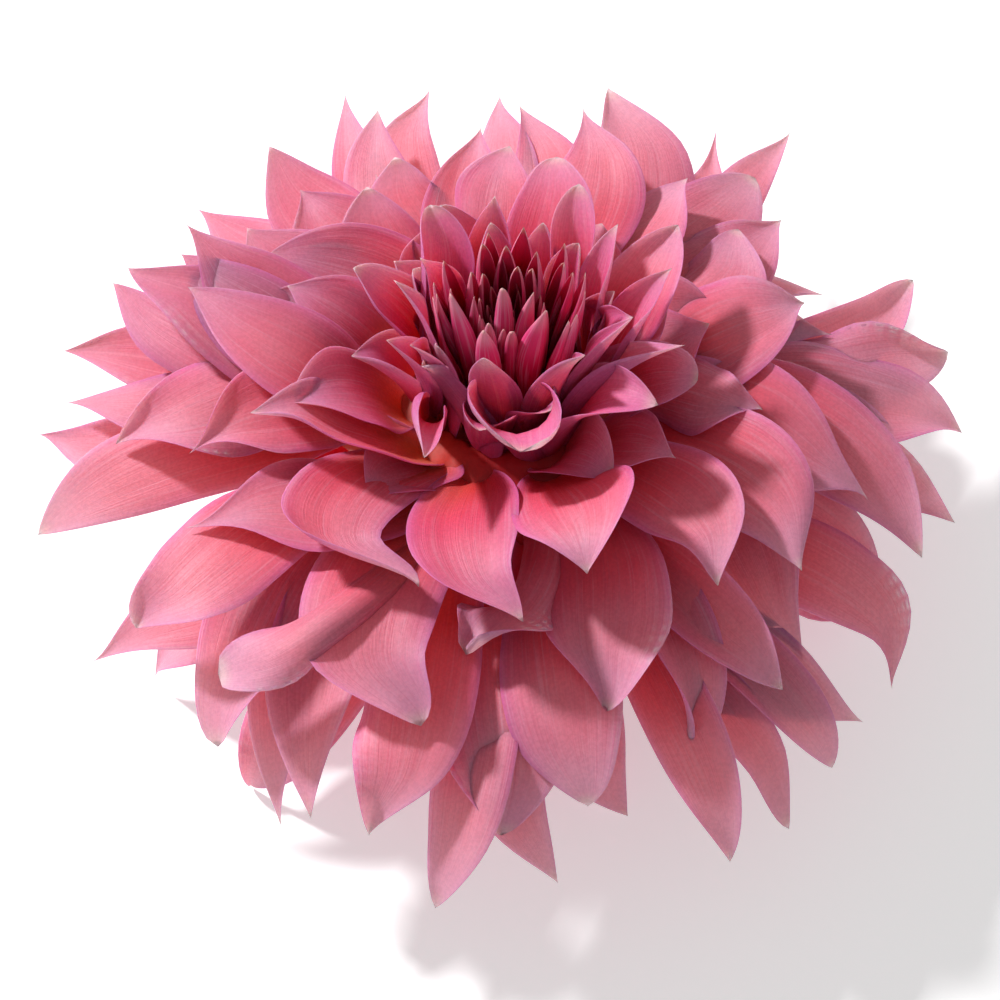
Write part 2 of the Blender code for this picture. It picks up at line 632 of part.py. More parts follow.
def join_by_union(core, blade_meshes):
    """Joins blades to their core into one body with a Boolean union, then removes the loose blades."""
    loose = bpy.data.collections.new(core.name + "_blades")
    bpy.context.scene.collection.children.link(loose)
    for mesh in blade_meshes:
        add_object(mesh, loose)
    union = core.modifiers.new("join_blades", "BOOLEAN")
    union.operation = "UNION"
    union.operand_type = "COLLECTION"
    union.collection = loose
    union.solver = "MANIFOLD"
    bpy.context.view_layer.update()
    joined = bpy.data.meshes.new_from_object(core.evaluated_get(bpy.context.evaluated_depsgraph_get()))
    core.modifiers.clear()
    core.data = joined
    fill_pockets(joined)
    for blade in list(loose.objects):
        bpy.data.objects.remove(blade)
    bpy.data.collections.remove(loose)


def make_material(name, colour, roughness):
    """A matte plant surface of one colour."""
    material = bpy.data.materials.new(name)
    material.use_nodes = True
    shader = material.node_tree.nodes["Principled BSDF"]
    shader.inputs["Base Color"].default_value = (*colour, 1.0)
    shader.inputs["Roughness"].default_value = roughness
    shader.inputs["Metallic"].default_value = 0.0
    return material


def petal_material():
    """Salmon pink ray petals."""
    return make_material("salmon_pink_petal", (0.84, 0.36, 0.43), 0.6)


def heart_material():
    """Deep magenta shut florets."""
    return make_material("magenta_heart", (0.34, 0.02, 0.07), 0.55)


def calyx_material():
    """Fresh green calyx."""
    return make_material("green_calyx", (0.13, 0.25, 0.06), 0.6)


def stem_material():
    """Duller green stem."""
    return make_material("green_stem", (0.11, 0.2, 0.05), 0.65)


def one_of(floret, index):
    """The form of a single floret as plain numbers."""
    return {name: float(values[index]) for name, values in floret.items()}


def petal_blade(floret, index):
    """One open petal: folded along its midrib near the heart, nearly flat further out."""
    layer = floret["layer"][index]
    small = layer > SMALL_FROM_LAYER or layer < HIDDEN_BELOW_LAYER
    stations = SMALL_PETAL_STATIONS if small else PETAL_STATIONS
    section = folded_section if layer > FOLDED_FROM_LAYER else ridged_section
    one = one_of(floret, index)
    return blade_mesh(f"petal_{index}", one, stations, PETAL_THICKNESS, section, outside_heart)


def shut_blade(floret, index):
    """One shut floret of the heart."""
    one = one_of(floret, index)
    return blade_mesh(f"floret_{index}", one, SHUT_STATIONS, FLORET_THICKNESS, folded_section, inside_heart)


def build_ray_petals(floret):
    """The open pink petals on the receptacle that carries them, with a well in its top for the heart."""
    well = HEART_RADIUS + 3 * MM
    profile = [
        (0.0, CORE_BOTTOM),
        (0.5 * CORE_RADIUS, CORE_BOTTOM),
        (0.88 * CORE_RADIUS, CORE_BOTTOM + 4 * MM),
        (CORE_RADIUS, CORE_BOTTOM + 10 * MM),
        (0.92 * CORE_RADIUS, CORE_BOTTOM + 18 * MM),
        (0.7 * CORE_RADIUS, HEART_BASE + 6 * MM),
        (well + 1.5 * MM, HEART_BASE + 8 * MM),
        (well, HEART_BASE - SEAM),
        (0.0, HEART_BASE - SEAM),
    ]
    core = add_object(turned_mesh("ray_petals", profile, CORE_SIDES))
    core.data.materials.append(petal_material())
    opened = np.flatnonzero(floret["layer"] < HEART_EDGE_LAYER)
    join_by_union(core, [petal_blade(floret, index) for index in opened])


def build_heart_florets(floret):
    """The shut florets on the low dome in the middle of the receptacle."""
    foot = HEART_RADIUS - HEART_GAP
    profile = [
        (0.0, HEART_BASE),
        (foot - 0.6 * MM, HEART_BASE),
        (foot, HEART_BASE + 1.2 * MM),
        (0.75 * foot, HEART_BASE + 0.75 * HEART_DOME),
        (0.4 * foot, HEART_BASE + 0.95 * HEART_DOME),
        (0.0, HEART_BASE + HEART_DOME),
    ]
    core = add_object(turned_mesh("heart_florets", profile, CORE_SIDES))
    core.data.materials.append(heart_material())
    shut = np.flatnonzero(floret["layer"] > HEART_EDGE_LAYER)
    join_by_union(core, [shut_blade(floret, index) for index in shut])


def bract_form(turn):
    """The form of one green bract, which bends down beside the stem."""
    return {
        "turn": turn,
        "root_out": 0.72 * CALYX_RADIUS,
        "root_up": CALYX_BOTTOM + 3.5 * MM,
        "tip_out": 0.72 * CALYX_RADIUS + 0.75 * BRACT_LENGTH,
        "tip_up": CALYX_BOTTOM - 0.35 * BRACT_LENGTH,
        "rise_root": math.radians(-4.0),
        "rise_tip": math.radians(-52.0),
        "width": BRACT_WIDTH,
        "side": 0.0,
        "twist": 0.0,
        "roll": 0.0,
        "hook": 0.0,
        "crook": 0.0,
        "tail": 0.8,
        "fold_root": -0.2,
        "fold_mid": -0.3,
        "fold_tip": 0.1,
    }


def build_calyx():
    """The green cup under the receptacle, with its ring of bracts."""
    profile = [
        (0.0, CALYX_BOTTOM),
        (0.55 * CALYX_RADIUS, CALYX_BOTTOM),
        (0.85 * CALYX_RADIUS, CALYX_BOTTOM + 2.5 * MM),
        (CALYX_RADIUS, CALYX_TOP - 3 * MM),
        (CALYX_RADIUS, CALYX_TOP),
        (0.0, CALYX_TOP),
    ]
    core = add_object(turned_mesh("calyx", profile, CORE_SIDES))
    core.data.materials.append(calyx_material())
    stations = (0.0, 0.3, 0.55, 0.8, 1.0)
    blades = []
    for step in range(BRACTS):
        form = bract_form(2 * math.pi * (step + 0.5) / BRACTS)
        name = f"bract_{step}"
        blades.append(blade_mesh(name, form, stations, BRACT_THICKNESS, ridged_section, above_table))
    join_by_union(core, blades)


def build_stem():
    """The short stem stub, cut flat at its foot."""
    top = CALYX_BOTTOM - SEAM
    profile = [
        (0.0, 0.0),
        (STEM_FOOT_RADIUS, 0.0),
        (STEM_RADIUS, 0.55 * top),
        (1.15 * STEM_RADIUS, top),
        (0.0, top),
    ]
    stem = add_object(turned_mesh("stem", profile, CORE_SIDES))
    stem.data.materials.append(stem_material())


def main():
    """Clears the scene and builds the bloom."""
    for thing in list(bpy.data.objects):
        bpy.data.objects.remove(thing)
    floret = all_florets()
    build_ray_petals(floret)
    build_heart_florets(floret)
    build_calyx()
    build_stem()


if __name__ == "__main__":
    main()
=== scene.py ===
"""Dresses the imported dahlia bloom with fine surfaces: florets, receptacle, calyx and cut stem.

Each floret follows the same spiral, the same form by layer and the same draws as the solids, so a fine
petal lies where its solid petal lies. Lengths are in metres, and z = 0 is the surface it rests on.
"""

import logging
import math
from dataclasses import dataclass, field
from enum import Enum
from typing import Any, Callable, NamedTuple

import bpy
import numpy as np
import numpy.typing as npt
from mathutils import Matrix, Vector


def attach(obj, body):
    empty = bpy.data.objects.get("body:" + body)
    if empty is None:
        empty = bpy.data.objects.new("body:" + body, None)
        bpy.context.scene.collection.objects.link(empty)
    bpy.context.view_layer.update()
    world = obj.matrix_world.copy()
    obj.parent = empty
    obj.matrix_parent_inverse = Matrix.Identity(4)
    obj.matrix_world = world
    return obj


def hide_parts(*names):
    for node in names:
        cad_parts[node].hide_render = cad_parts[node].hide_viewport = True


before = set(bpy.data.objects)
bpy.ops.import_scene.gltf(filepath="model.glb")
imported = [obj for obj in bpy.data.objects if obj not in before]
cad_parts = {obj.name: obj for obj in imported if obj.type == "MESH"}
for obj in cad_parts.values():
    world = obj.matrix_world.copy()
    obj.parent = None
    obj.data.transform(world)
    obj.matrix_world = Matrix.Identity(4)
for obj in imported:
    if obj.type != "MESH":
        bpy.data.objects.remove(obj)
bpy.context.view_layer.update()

Array = npt.NDArray[np.float64]
Colour = tuple[float, float, float]
Span = tuple[float, float]
Stops = tuple[tuple[float, Colour], ...]
Forms = dict[str, Array]

LOG = logging.getLogger("dahlia")
MM = 0.001
SEED = 7
BODY = "root"
SWING_POWER = 2.2
MOST_SWING = math.radians(16.0)
LAYER_COST = 16.0 * MM
SHUT_ABOVE = 8.5
HOOK_AT_TIP = 0.67

# How far a seen petal's middle lies under its tip near the heart and above it further out, and how
# much of its random roll, twist and hook it keeps
INNER_LAYER = 7.5
INNER_MIDDLE_UNDER_TIP = 12.0 * MM
MIDDLE_ABOVE_TIP = 3.0 * MM
RANDOM_KEPT = 0.4
LIFT_RISE = math.radians(1.2)

# How the bloom leans: petals nod to the front, rise at the back, and stand highest on its high side.
# The high side lifts the outer petals in full and fades out over the layers towards the heart.
NOD = math.radians(12.0)
FACING = math.radians(14.0)
FACING_TURN = math.radians(40.0)
BACK_LIFT = math.radians(30.0)
BACK_FROM = (-0.15, 0.6)
HIGH_SIDE = math.radians(150.0)
TILT_UP = 12.0 * MM
TILT_RISE = math.radians(12.0)
TILT_INNERMOST = 6.0
TILT_FADE = 3.0
TILT_FROM = 1.5

# How much shorter and lower the petals are that aren't seen plainly, from this layer inwards
SHORT_ABOVE_LAYER = 3.5
SHORTER = 0.32
LOWER = 7.0 * MM

# Form by layer, in millimetres, degrees and, for the folds, radians from midrib to edge
LAYER = [12.0, 11.2, 10.3, 9.4, 8.6, 8.2, 7.0, 6.0, 5.0, 4.0, 3.0, 2.0, 1.0, 0.0, -1.0]
FORM = {
    "root_out": [0.8, 4.0, 7.5, 10.0, 12.0, 18.5, 19.0, 19.5, 20.5, 21.5, 22.5, 23.0, 23.5, 24.0, 23.0],
    "root_up": [69.0, 68.5, 67.5, 66.5, 64.5, 60.0, 59.0, 58.0, 57.0, 55.5, 54.0, 52.0, 50.0, 47.5, 46.0],
    "tip_out": [1.0, 4.0, 7.5, 11.0, 14.5, 22.0, 35.0, 51.0, 64.0, 79.0, 93.0, 104.0, 111.0, 98.0, 84.0],
    "tip_up": [88.0, 91.0, 98.0, 105.0, 107.0, 104.0, 96.0, 86.0, 76.0, 66.0, 56.0, 46.0, 36.0, 9.0, -5.0],
    "rise_root": [90, 90, 90, 90, 90, 88, 76, 62, 50, 38, 26, 14, 2, -16, -35],
    "rise_tip": [90, 95, 98, 100, 97, 72, 30, -4, -18, -28, -34, -38, -42, -50, -58],
    "width": [2.2, 3.6, 6.0, 9.0, 12.0, 14.0, 17.5, 20.5, 23.0, 25.0, 26.0, 26.0, 25.0, 24.0, 23.0],
    "fold_root": [2.6, 2.6, 2.6, 2.6, 2.5, 1.4, 1.6, 1.8, 1.7, 1.6, 1.6, 1.6, 1.6, 1.6, 1.6],
    "fold_mid": [2.6, 2.6, 2.5, 2.4, 2.1, 1.7, 1.4, 0.8, 0.1, -0.2, -0.3, -0.35, -0.35, -0.3, -0.2],
    "fold_tip": [2.5, 2.5, 2.3, 2.1, 1.8, 1.6, 1.4, 1.0, 0.8, 0.8, 0.9, 1.0, 1.0, 1.0, 0.8],
}
LENGTHS = ("root_out", "root_up", "tip_out", "tip_up", "width")
ANGLES = ("rise_root", "rise_tip")


class Seen(NamedTuple):
    """A petal where it is seen: its layer, its middle and its tip in view steps, and how it differs."""

    layer: float
    middle: tuple
    tip: tuple
    wide: float = 1.0
    roll: float = 0.0
    twist: float = 0.0
    hook: float = 0.0
    fold: float = 0.0
    pinch: float = 0.0
    tail: float = 1.0
    crook: float = 0.0
    lift: float = 0.0
    stand: float = 0.0
    heading: float | None = None


SEEN_PETALS = [
    Seen(1.3, (460, 800), (435, 908), wide=0.8, twist=20),
    Seen(1.0, (540, 835), (558, 883), wide=0.75),
    Seen(2.0, (500, 770), (503, 835), tail=0.5),
    Seen(3.0, (570, 715), (588, 806), wide=1.05),
    Seen(4.0, (603, 625), (605, 712), wide=1.1, tail=0.6),
    Seen(3.0, (672, 690), (688, 748), wide=0.6, fold=1.0, pinch=1.0, tail=0.5),
    Seen(1.6, (690, 780), (730, 862), wide=0.6, fold=0.6, tail=0.6),
    Seen(1.0, (740, 765), (789, 829), wide=0.55, fold=0.8, tail=0.5),
    Seen(1.0, (790, 725), (832, 768), wide=0.6, fold=1.0, tail=0.6),
    Seen(2.0, (775, 690), (863, 722), fold=0.4),
    Seen(3.6, (715, 630), (783, 690), wide=0.8, fold=1.4, hook=0.4),
    Seen(1.6, (845, 650), (892, 690), wide=0.9),
    Seen(3.0, (785, 610), (803, 668), wide=0.95),
    Seen(2.0, (850, 585), (882, 607), wide=0.9, roll=25),
    Seen(4.6, (745, 500), (802, 571), wide=1.15, tail=0.8),
    Seen(4.0, (800, 455), (868, 500), fold=0.3),
    Seen(3.0, (870, 495), (922, 558)),
    Seen(1.6, (905, 500), (955, 523), wide=0.8),
    Seen(2.0, (905, 425), (962, 433)),
    Seen(3.0, (850, 410), (896, 438)),
    Seen(2.0, (880, 375), (948, 352), pinch=0.5),
    Seen(5.0, (715, 385), (763, 410), roll=-12),
    Seen(1.3, (870, 320), (913, 280), wide=0.9, fold=1.5),
    Seen(4.4, (745, 320), (805, 303), wide=1.05, hook=-0.4),
    Seen(3.0, (800, 300), (833, 335), hook=-0.5),
    Seen(2.0, (785, 265), (823, 295), hook=-0.4),
    Seen(4.0, (705, 260), (738, 229), roll=-20, tail=0.7),
    Seen(3.0, (725, 200), (755, 178), tail=0.6),
    Seen(4.0, (655, 205), (688, 178), roll=-18, tail=0.7),
    Seen(6.0, (650, 255), (678, 225), fold=0.3, tail=0.7),
    Seen(7.0, (650, 300), (672, 268), fold=0.5, hook=0.5),
    Seen(7.6, (628, 345), (633, 317), wide=0.7),
    Seen(1.6, (755, 180), (790, 133), wide=0.65),
    Seen(1.0, (705, 160), (717, 128), wide=0.6),
    Seen(2.0, (655, 165), (662, 135), wide=0.8),
    Seen(3.0, (618, 150), (608, 88), wide=1.05),
    Seen(4.0, (580, 165), (583, 107)),
    Seen(6.0, (545, 205), (557, 157), tail=0.7),
    Seen(7.0, (578, 225), (579, 184), fold=0.4),
    Seen(7.5, (603, 260), (618, 224), wide=0.85, fold=0.4),
    Seen(3.0, (535, 140), (519, 105), wide=0.8),
    Seen(2.6, (500, 130), (500, 95), wide=0.7),
    Seen(5.0, (505, 180), (510, 146)),
    Seen(4.5, (475, 165), (481, 127), fold=0.4),
    Seen(2.0, (425, 130), (430, 88), wide=0.75),
    Seen(4.5, (420, 195), (395, 157)),
    Seen(3.0, (385, 150), (378, 110), wide=0.8),
    Seen(2.0, (360, 145), (345, 93), wide=0.6, fold=0.9),
    Seen(5.0, (395, 230), (367, 187)),
    Seen(7.0, (445, 250), (430, 205), fold=0.4),
    Seen(7.0, (492, 225), (495, 196), fold=0.5, hook=0.6),
    Seen(7.0, (385, 265), (353, 268)),
    Seen(3.5, (325, 205), (300, 190)),
    Seen(3.0, (270, 240), (247, 228), lift=8),
    Seen(2.0, (310, 175), (269, 146), wide=0.9, lift=16),
    Seen(4.5, (320, 250), (268, 255), tail=0.7),
    Seen(3.2, (240, 255), (186, 224), lift=18),
    Seen(2.8, (210, 280), (181, 254), wide=0.85, lift=14),
    Seen(2.4, (165, 305), (128, 268), wide=0.9, lift=18),
    Seen(1.6, (140, 315), (113, 283), wide=0.75, lift=12),
    Seen(1.0, (120, 350), (63, 351), wide=0.9, lift=12),
    Seen(4.2, (280, 335), (188, 287), wide=1.0, lift=12, roll=12),
    Seen(5.0, (330, 310), (269, 295)),
    Seen(5.6, (325, 290), (287, 286)),
    Seen(6.0, (345, 375), (292, 402), hook=-0.4),
    Seen(6.0, (310, 430), (250, 413), roll=15, hook=0.8),
    Seen(4.5, (255, 420), (189, 454)),
    Seen(3.0, (185, 410), (116, 444)),
    Seen(1.6, (110, 400), (65, 403), wide=0.85),
    Seen(0.8, (90, 440), (38, 435), wide=0.7),
    Seen(2.0, (120, 495), (38, 535), wide=0.85, tail=0.8),
    Seen(4.3, (260, 520), (185, 528), wide=1.2, crook=0.05, roll=8),
    Seen(3.0, (195, 580), (136, 628), wide=0.95, tail=0.6),
    Seen(1.0, (150, 640), (92, 662), wide=0.8),
    Seen(3.6, (275, 640), (218, 674), wide=0.8, fold=-2.3, tail=0.5),
    Seen(2.0, (225, 700), (218, 747), wide=0.85, hook=0.7, fold=0.6, tail=0.7),
    Seen(1.0, (262, 780), (281, 826), wide=0.75),
    Seen(2.0, (285, 760), (311, 819), wide=0.95, tail=0.7),
    Seen(2.5, (390, 760), (369, 835), crook=-0.05),
    Seen(4.0, (412, 640), (421, 726), wide=1.2, crook=0.13, tail=0.85),
    Seen(5.2, (380, 520), (419, 587), wide=1.3, tail=0.9, crook=0.36),
    Seen(5.5, (490, 530), (523, 622), wide=1.1, pinch=0.4, crook=0.1),
    Seen(4.0, (500, 610), (466, 655), fold=-2.9, pinch=1.4, hook=0.3, tail=0.3),
    Seen(6.2, (570, 490), (587, 574), wide=1.25, fold=-0.9, tail=0.8, roll=-12),
    Seen(5.0, (665, 500), (718, 586), wide=1.15, tail=0.8, crook=-0.06),
    Seen(7.0, (525, 410), (520, 452), wide=1.9, fold=1.1, pinch=-0.2, tail=0.6),
    Seen(6.8, (455, 410), (422, 366), wide=0.85, heading=-104, roll=12, tail=0.4, crook=0.12, stand=64),
    Seen(7.0, (398, 420), (424, 458), wide=0.9, fold=0.8),
    Seen(8.0, (425, 365), (410, 345), wide=0.9),
    Seen(8.0, (490, 380), (485, 355), wide=0.9),
    Seen(8.0, (575, 390), (585, 355), wide=0.9),
    Seen(7.0, (640, 375), (685, 345), roll=-25),
    Seen(6.8, (620, 395), (658, 405)),
    Seen(8.2, (619, 364), (633, 317), wide=0.9),
    Seen(8.2, (409, 364), (394, 280)),
    Seen(8.2, (430, 285), (421, 258), wide=0.9),
]
SEEN_SHUT = [
    Seen(9.0, (472, 353), (449, 293), wide=1.1),
    Seen(9.4, (503, 347), (502, 288)),
    Seen(9.3, (521, 364), (534, 292)),
    Seen(8.9, (543, 394), (546, 310), wide=1.15),
    Seen(9.2, (569, 353), (572, 323)),
    Seen(9.4, (586, 345), (582, 317)),
    Seen(9.0, (600, 376), (594, 326)),
    Seen(9.1, (605, 323), (589, 272)),
    Seen(9.5, (595, 330), (589, 291)),
    Seen(9.0, (425, 340), (414, 301)),
    Seen(9.3, (428, 310), (430, 282)),
    Seen(9.5, (440, 325), (434, 294)),
    Seen(9.6, (452, 320), (450, 288)),
    Seen(9.8, (478, 320), (474, 296)),
    Seen(9.2, (483, 270), (482, 243)),
    Seen(9.2, (508, 275), (506, 245)),
    Seen(9.4, (540, 280), (537, 251)),
    Seen(9.3, (570, 280), (566, 242)),
    Seen(9.6, (580, 300), (574, 272)),
    Seen(9.7, (518, 290), (518, 266)),
    Seen(9.8, (562, 290), (565, 262)),
    Seen(9.2, (445, 285), (442, 260)),
]


def smooth(value: Array, low: float, high: float) -> Array:
    """A smooth step: the share t of the way from low to high, as t * t * (3 - 2 * t).

    Args:
        value: The values to step.
        low: The value where the step starts, at 0.
        high: The value where the step ends, at 1.

    Returns:
        The stepped values.
    """
    share = np.clip((value - low) / (high - low), 0.0, 1.0)
    return share * share * (3 - 2 * share)


def unit(vectors: Array) -> Array:
    """Vectors divided by their own length, so that each is 1 long."""
    return vectors / np.maximum(np.linalg.norm(vectors, axis=-1, keepdims=True), 1e-12)


def ease_above(value: Array, least: Array | float, ease: float) -> Array:
    """Values bent smoothly above a least one: least + (over + root of (over squared + ease squared)) / 2.

    Args:
        value: The values to bend, over being how far each is above the least.
        least: The least value.
        ease: How soft the bend is.

    Returns:
        The bent values, all above the least one.
    """
    over = value - least
    return least + (over + np.sqrt(over**2 + ease**2)) / 2


def interp_form(name: str, layer: Array | float) -> Array:
    """A form value at a layer, on straight lines between the table's layers.

    Args:
        name: The row of the form table.
        layer: The layer or layers, from 12 at the eye to -1 under the bloom.

    Returns:
        The value, in metres or radians where it is a length or an angle.
    """
    value = np.interp(-np.asarray(layer, float), [-knot for knot in LAYER], FORM[name])
    if name in LENGTHS:
        return value * MM
    return np.radians(value) if name in ANGLES else value


def tilted(turn: Array | float, layer: Array | float) -> Array:
    """How far the leaning bloom lifts a petal's tip: the cosine of its turn from the high side.

    Args:
        turn: The petal's heading.
        layer: Its layer. The heart and the undermost petals don't take part.

    Returns:
        The share of the full lift, from -1 at the low side to 1 at the high side.
    """
    layer = np.asarray(layer, float)
    inner_share = np.clip((TILT_INNERMOST - layer) / TILT_FADE, 0.0, 1.0)
    return np.cos(turn - HIGH_SIDE) * inner_share * np.clip(layer / TILT_FROM, 0.0, 1.0)


@dataclass(frozen=True)
class SightLine:
    """The line of sight from the front and above, in a square view of 1000 by 1000 steps."""

    rise: float = math.radians(60.0)
    distance: float = 500.0 * MM
    aim: tuple[float, float, float] = (-2.0 * MM, 3.0 * MM, 9.0 * MM)
    middle: float = 500.0
    reach: float = 2008.0

    def back(self) -> Array:
        """The direction from the bloom back to the eye."""
        return np.array([0.0, -math.cos(self.rise), math.sin(self.rise)])

    def eye(self) -> Array:
        """The place of the eye: the aim plus the distance along the direction back."""
        return np.array(self.aim) + self.distance * self.back()

    def seen_at(self, place: tuple[float, float], height: float) -> Array:
        """The point at a height above the table that is seen at a place in the view.

        Args:
            place: Steps from the view's left and top edges.
            height: The height above the table.

        Returns:
            The point where the ray through that place meets the plane of that height.
        """
        up = np.array([0.0, math.sin(self.rise), math.cos(self.rise)])
        across = (place[0] - self.middle) / self.reach
        down = (place[1] - self.middle) / self.reach
        ray = across * np.array([1.0, 0.0, 0.0]) - down * up - self.back()
        return self.eye() + (height - self.eye()[2]) / ray[2] * ray


@dataclass
class Spiral:
    """The rule that places every floret: one golden turn after another, from the eye outwards."""

    golden_turn: float = math.radians(137.50776)
    first_turn: float = math.radians(225.0)
    shut_florets: int = 68
    all_florets: int = 204
    eye_layer: float = 12.0
    last_shut_layer: float = 8.6
    first_open_layer: float = 8.4
    lowest_layer: float = -1.0
    sight: SightLine = field(default_factory=SightLine)

    def layers(self) -> Array:
        """The layer of each floret, in even steps from the eye and again from the first open petal."""
        shut = np.linspace(self.eye_layer, self.last_shut_layer, self.shut_florets)
        opened = np.linspace(self.first_open_layer, self.lowest_layer, self.all_florets - self.shut_florets)
        return np.concatenate([shut, opened])

    def draw(self) -> Forms:
        """The form of every floret: its layer's values, varied by seeded draws.

        Returns:
            One array for each form value, with an entry for each floret.
        """
        rng = np.random.default_rng(SEED)
        layer = self.layers()
        count = len(layer)
        form = {name: interp_form(name, layer) for name in FORM}
        opened = np.clip((SHUT_ABOVE - layer) / 2.5, 0.0, 1.0)
        turn = self.first_turn + np.arange(count) * self.golden_turn
        form["layer"] = layer
        form["turn"] = turn + rng.normal(0, math.radians(2), count) * opened
        form["tip_out"] *= 1 + rng.normal(0, 0.045, count)
        form["tip_up"] += rng.normal(0, 2.2 * MM, count) * (0.4 + 0.6 * opened)
        form["tip_up"] += TILT_UP * tilted(turn, layer)
        form["width"] *= 1 + rng.normal(0, 0.06, count)
        form["rise_root"] += rng.normal(0, math.radians(4), count) * opened
        form["rise_tip"] += rng.normal(0, math.radians(12), count) * opened
        form["side"] = rng.normal(0, 4.5 * MM, count) * opened + rng.normal(0, 0.5 * MM, count)
        form["twist"] = rng.normal(0, math.radians(28), count) * opened
        form["roll"] = rng.normal(0, math.radians(7), count) * opened
        form["hook"] = rng.normal(0.05, 0.5, count) * opened
        form["fold_mid"] += rng.normal(0, 0.22, count) * opened
        form["fold_tip"] += rng.normal(0, 0.5, count) * opened
        form["tail"] = rng.uniform(0.75, 1.9, count) * (1 - 0.3 * np.clip((layer - 4.5) / 2.5, 0.0, 1.0))
        return form | self.soft_draws(opened, count)

    @staticmethod
    def soft_draws(opened: Array, count: int) -> Forms:
        """The soft shapes that only these fine petals have, and each petal's own tone.

        Args:
            opened: How far each floret is open, from 0 to 1.
            count: The number of florets.

        Returns:
            One array for each soft value.
        """
        rng = np.random.default_rng(SEED + 1)
        return {
            "lop": rng.normal(0, 0.32, count) * opened,
            "ruffle": rng.uniform(0.02, 0.1, count) * opened,
            "wave": rng.uniform(0, 2 * math.pi, count),
            "waves": rng.uniform(1.2, 2.4, count),
            "pleat": rng.uniform(0.3, 1.0, count) * opened,
            "crook": rng.normal(0, 0.035, count) * opened,
            "skew": rng.normal(0, 0.05, count) * opened,
            "tone": rng.uniform(0, 1, count),
        }

    def swing_heading(self, root_turn: float, middle: Array, tip: Array) -> float:
        """The heading on which a blade that swings to its tip still passes under its seen middle.

        Args:
            root_turn: The spiral's own heading.
            middle: The seen middle of the blade.
            tip: The seen tip of the blade.

        Returns:
            The heading, at most 16 degrees off the line to the middle.
        """
        near = np.hypot(*middle[:2])
        share = near / (near + np.hypot(*(tip - middle)[:2]))
        aim = middle[:2] - share**SWING_POWER * tip[:2]
        straight = math.atan2(middle[1], middle[0])
        off = (math.atan2(aim[1], aim[0]) - straight + math.pi) % (2 * math.pi) - math.pi
        return straight + min(max(off, -MOST_SWING), MOST_SWING)

    def tip_height(self, seen: Seen) -> float:
        """The height of a seen petal's tip: its layer's, lifted or lowered by the lean of the bloom."""
        height = float(interp_form("tip_up", seen.layer))
        level = self.sight.seen_at(seen.tip, height)
        return height + seen.lift * MM + TILT_UP * float(tilted(math.atan2(level[1], level[0]), seen.layer))

    def place_seen(self, form: Forms, index: int, seen: Seen) -> None:
        """Turns one floret to where it is seen, and gives it its own roll, twist, hook and folds.

        Its tip and its middle are found on their sight lines at the heights of its layer. The seen
        differences are added to its layer's form, and it keeps a share of its random draws.

        Args:
            form: The florets' forms, changed in place.
            index: The floret that takes the place.
            seen: The place and the differences.
        """
        height = self.tip_height(seen)
        tip = self.sight.seen_at(seen.tip, height)
        above = -INNER_MIDDLE_UNDER_TIP if seen.layer > INNER_LAYER else MIDDLE_ABOVE_TIP
        middle = self.sight.seen_at(seen.middle, height + above)
        if seen.heading is not None:
            turn = math.radians(seen.heading)
        elif seen.layer > self.last_shut_layer:
            turn = math.atan2(tip[1] + middle[1], tip[0] + middle[0])
        else:
            turn = self.swing_heading(form["turn"][index], middle, tip)
        for name in FORM:
            if not name.startswith("root"):
                form[name][index] += interp_form(name, seen.layer) - interp_form(name, form["layer"][index])
        form["turn"][index] = turn
        form["tip_out"][index] = tip[0] * math.cos(turn) + tip[1] * math.sin(turn)
        form["side"][index] = tip[1] * math.cos(turn) - tip[0] * math.sin(turn)
        form["tip_up"][index] = height
        form["width"][index] *= seen.wide
        form["roll"][index] = RANDOM_KEPT * form["roll"][index] + math.radians(seen.roll)
        form["twist"][index] = RANDOM_KEPT * form["twist"][index] + math.radians(seen.twist)
        form["hook"][index] = RANDOM_KEPT * form["hook"][index] + seen.hook
        form["fold_mid"][index] += seen.fold
        form["fold_tip"][index] += seen.pinch
        form["rise_root"][index] += LIFT_RISE * seen.lift
        form["rise_tip"][index] += LIFT_RISE * seen.lift + math.radians(seen.stand)
        form["tail"][index] *= seen.tail
        form["crook"][index] += seen.crook

    def take_places(self, form: Forms, places: list[Seen], free: npt.NDArray[np.bool_]) -> None:
        """Gives each seen place the nearest free floret of about its own layer.

        Args:
            form: The florets' forms, changed in place.
            places: The seen florets.
            free: Which florets may take a place.
        """
        x, y = form["tip_out"] * np.cos(form["turn"]), form["tip_out"] * np.sin(form["turn"])
        layer = form["layer"].copy()
        for seen in sorted(places, key=lambda petal: -petal.layer):
            tip = self.sight.seen_at(seen.tip, self.tip_height(seen))
            cost = np.hypot(x - tip[0], y - tip[1]) + LAYER_COST * np.abs(layer - seen.layer)
            index = int(np.argmin(np.where(free, cost, np.inf)))
            free[index] = False
            self.place_seen(form, index, seen)

    def florets(self) -> Forms:
        """Every floret of the bloom: the seen ones in their places, the others shorter, all leaning."""
        form = self.draw()
        shut = form["layer"] > SHUT_ABOVE
        self.take_places(form, SEEN_SHUT, shut.copy())
        free = ~shut
        self.take_places(form, SEEN_PETALS, free)
        short = free & (form["layer"] > SHORT_ABOVE_LAYER)
        form["tip_out"][short] -= SHORTER * (form["tip_out"] - form["root_out"])[short]
        form["tip_up"][short] -= LOWER
        self.lean_over(form)
        return form

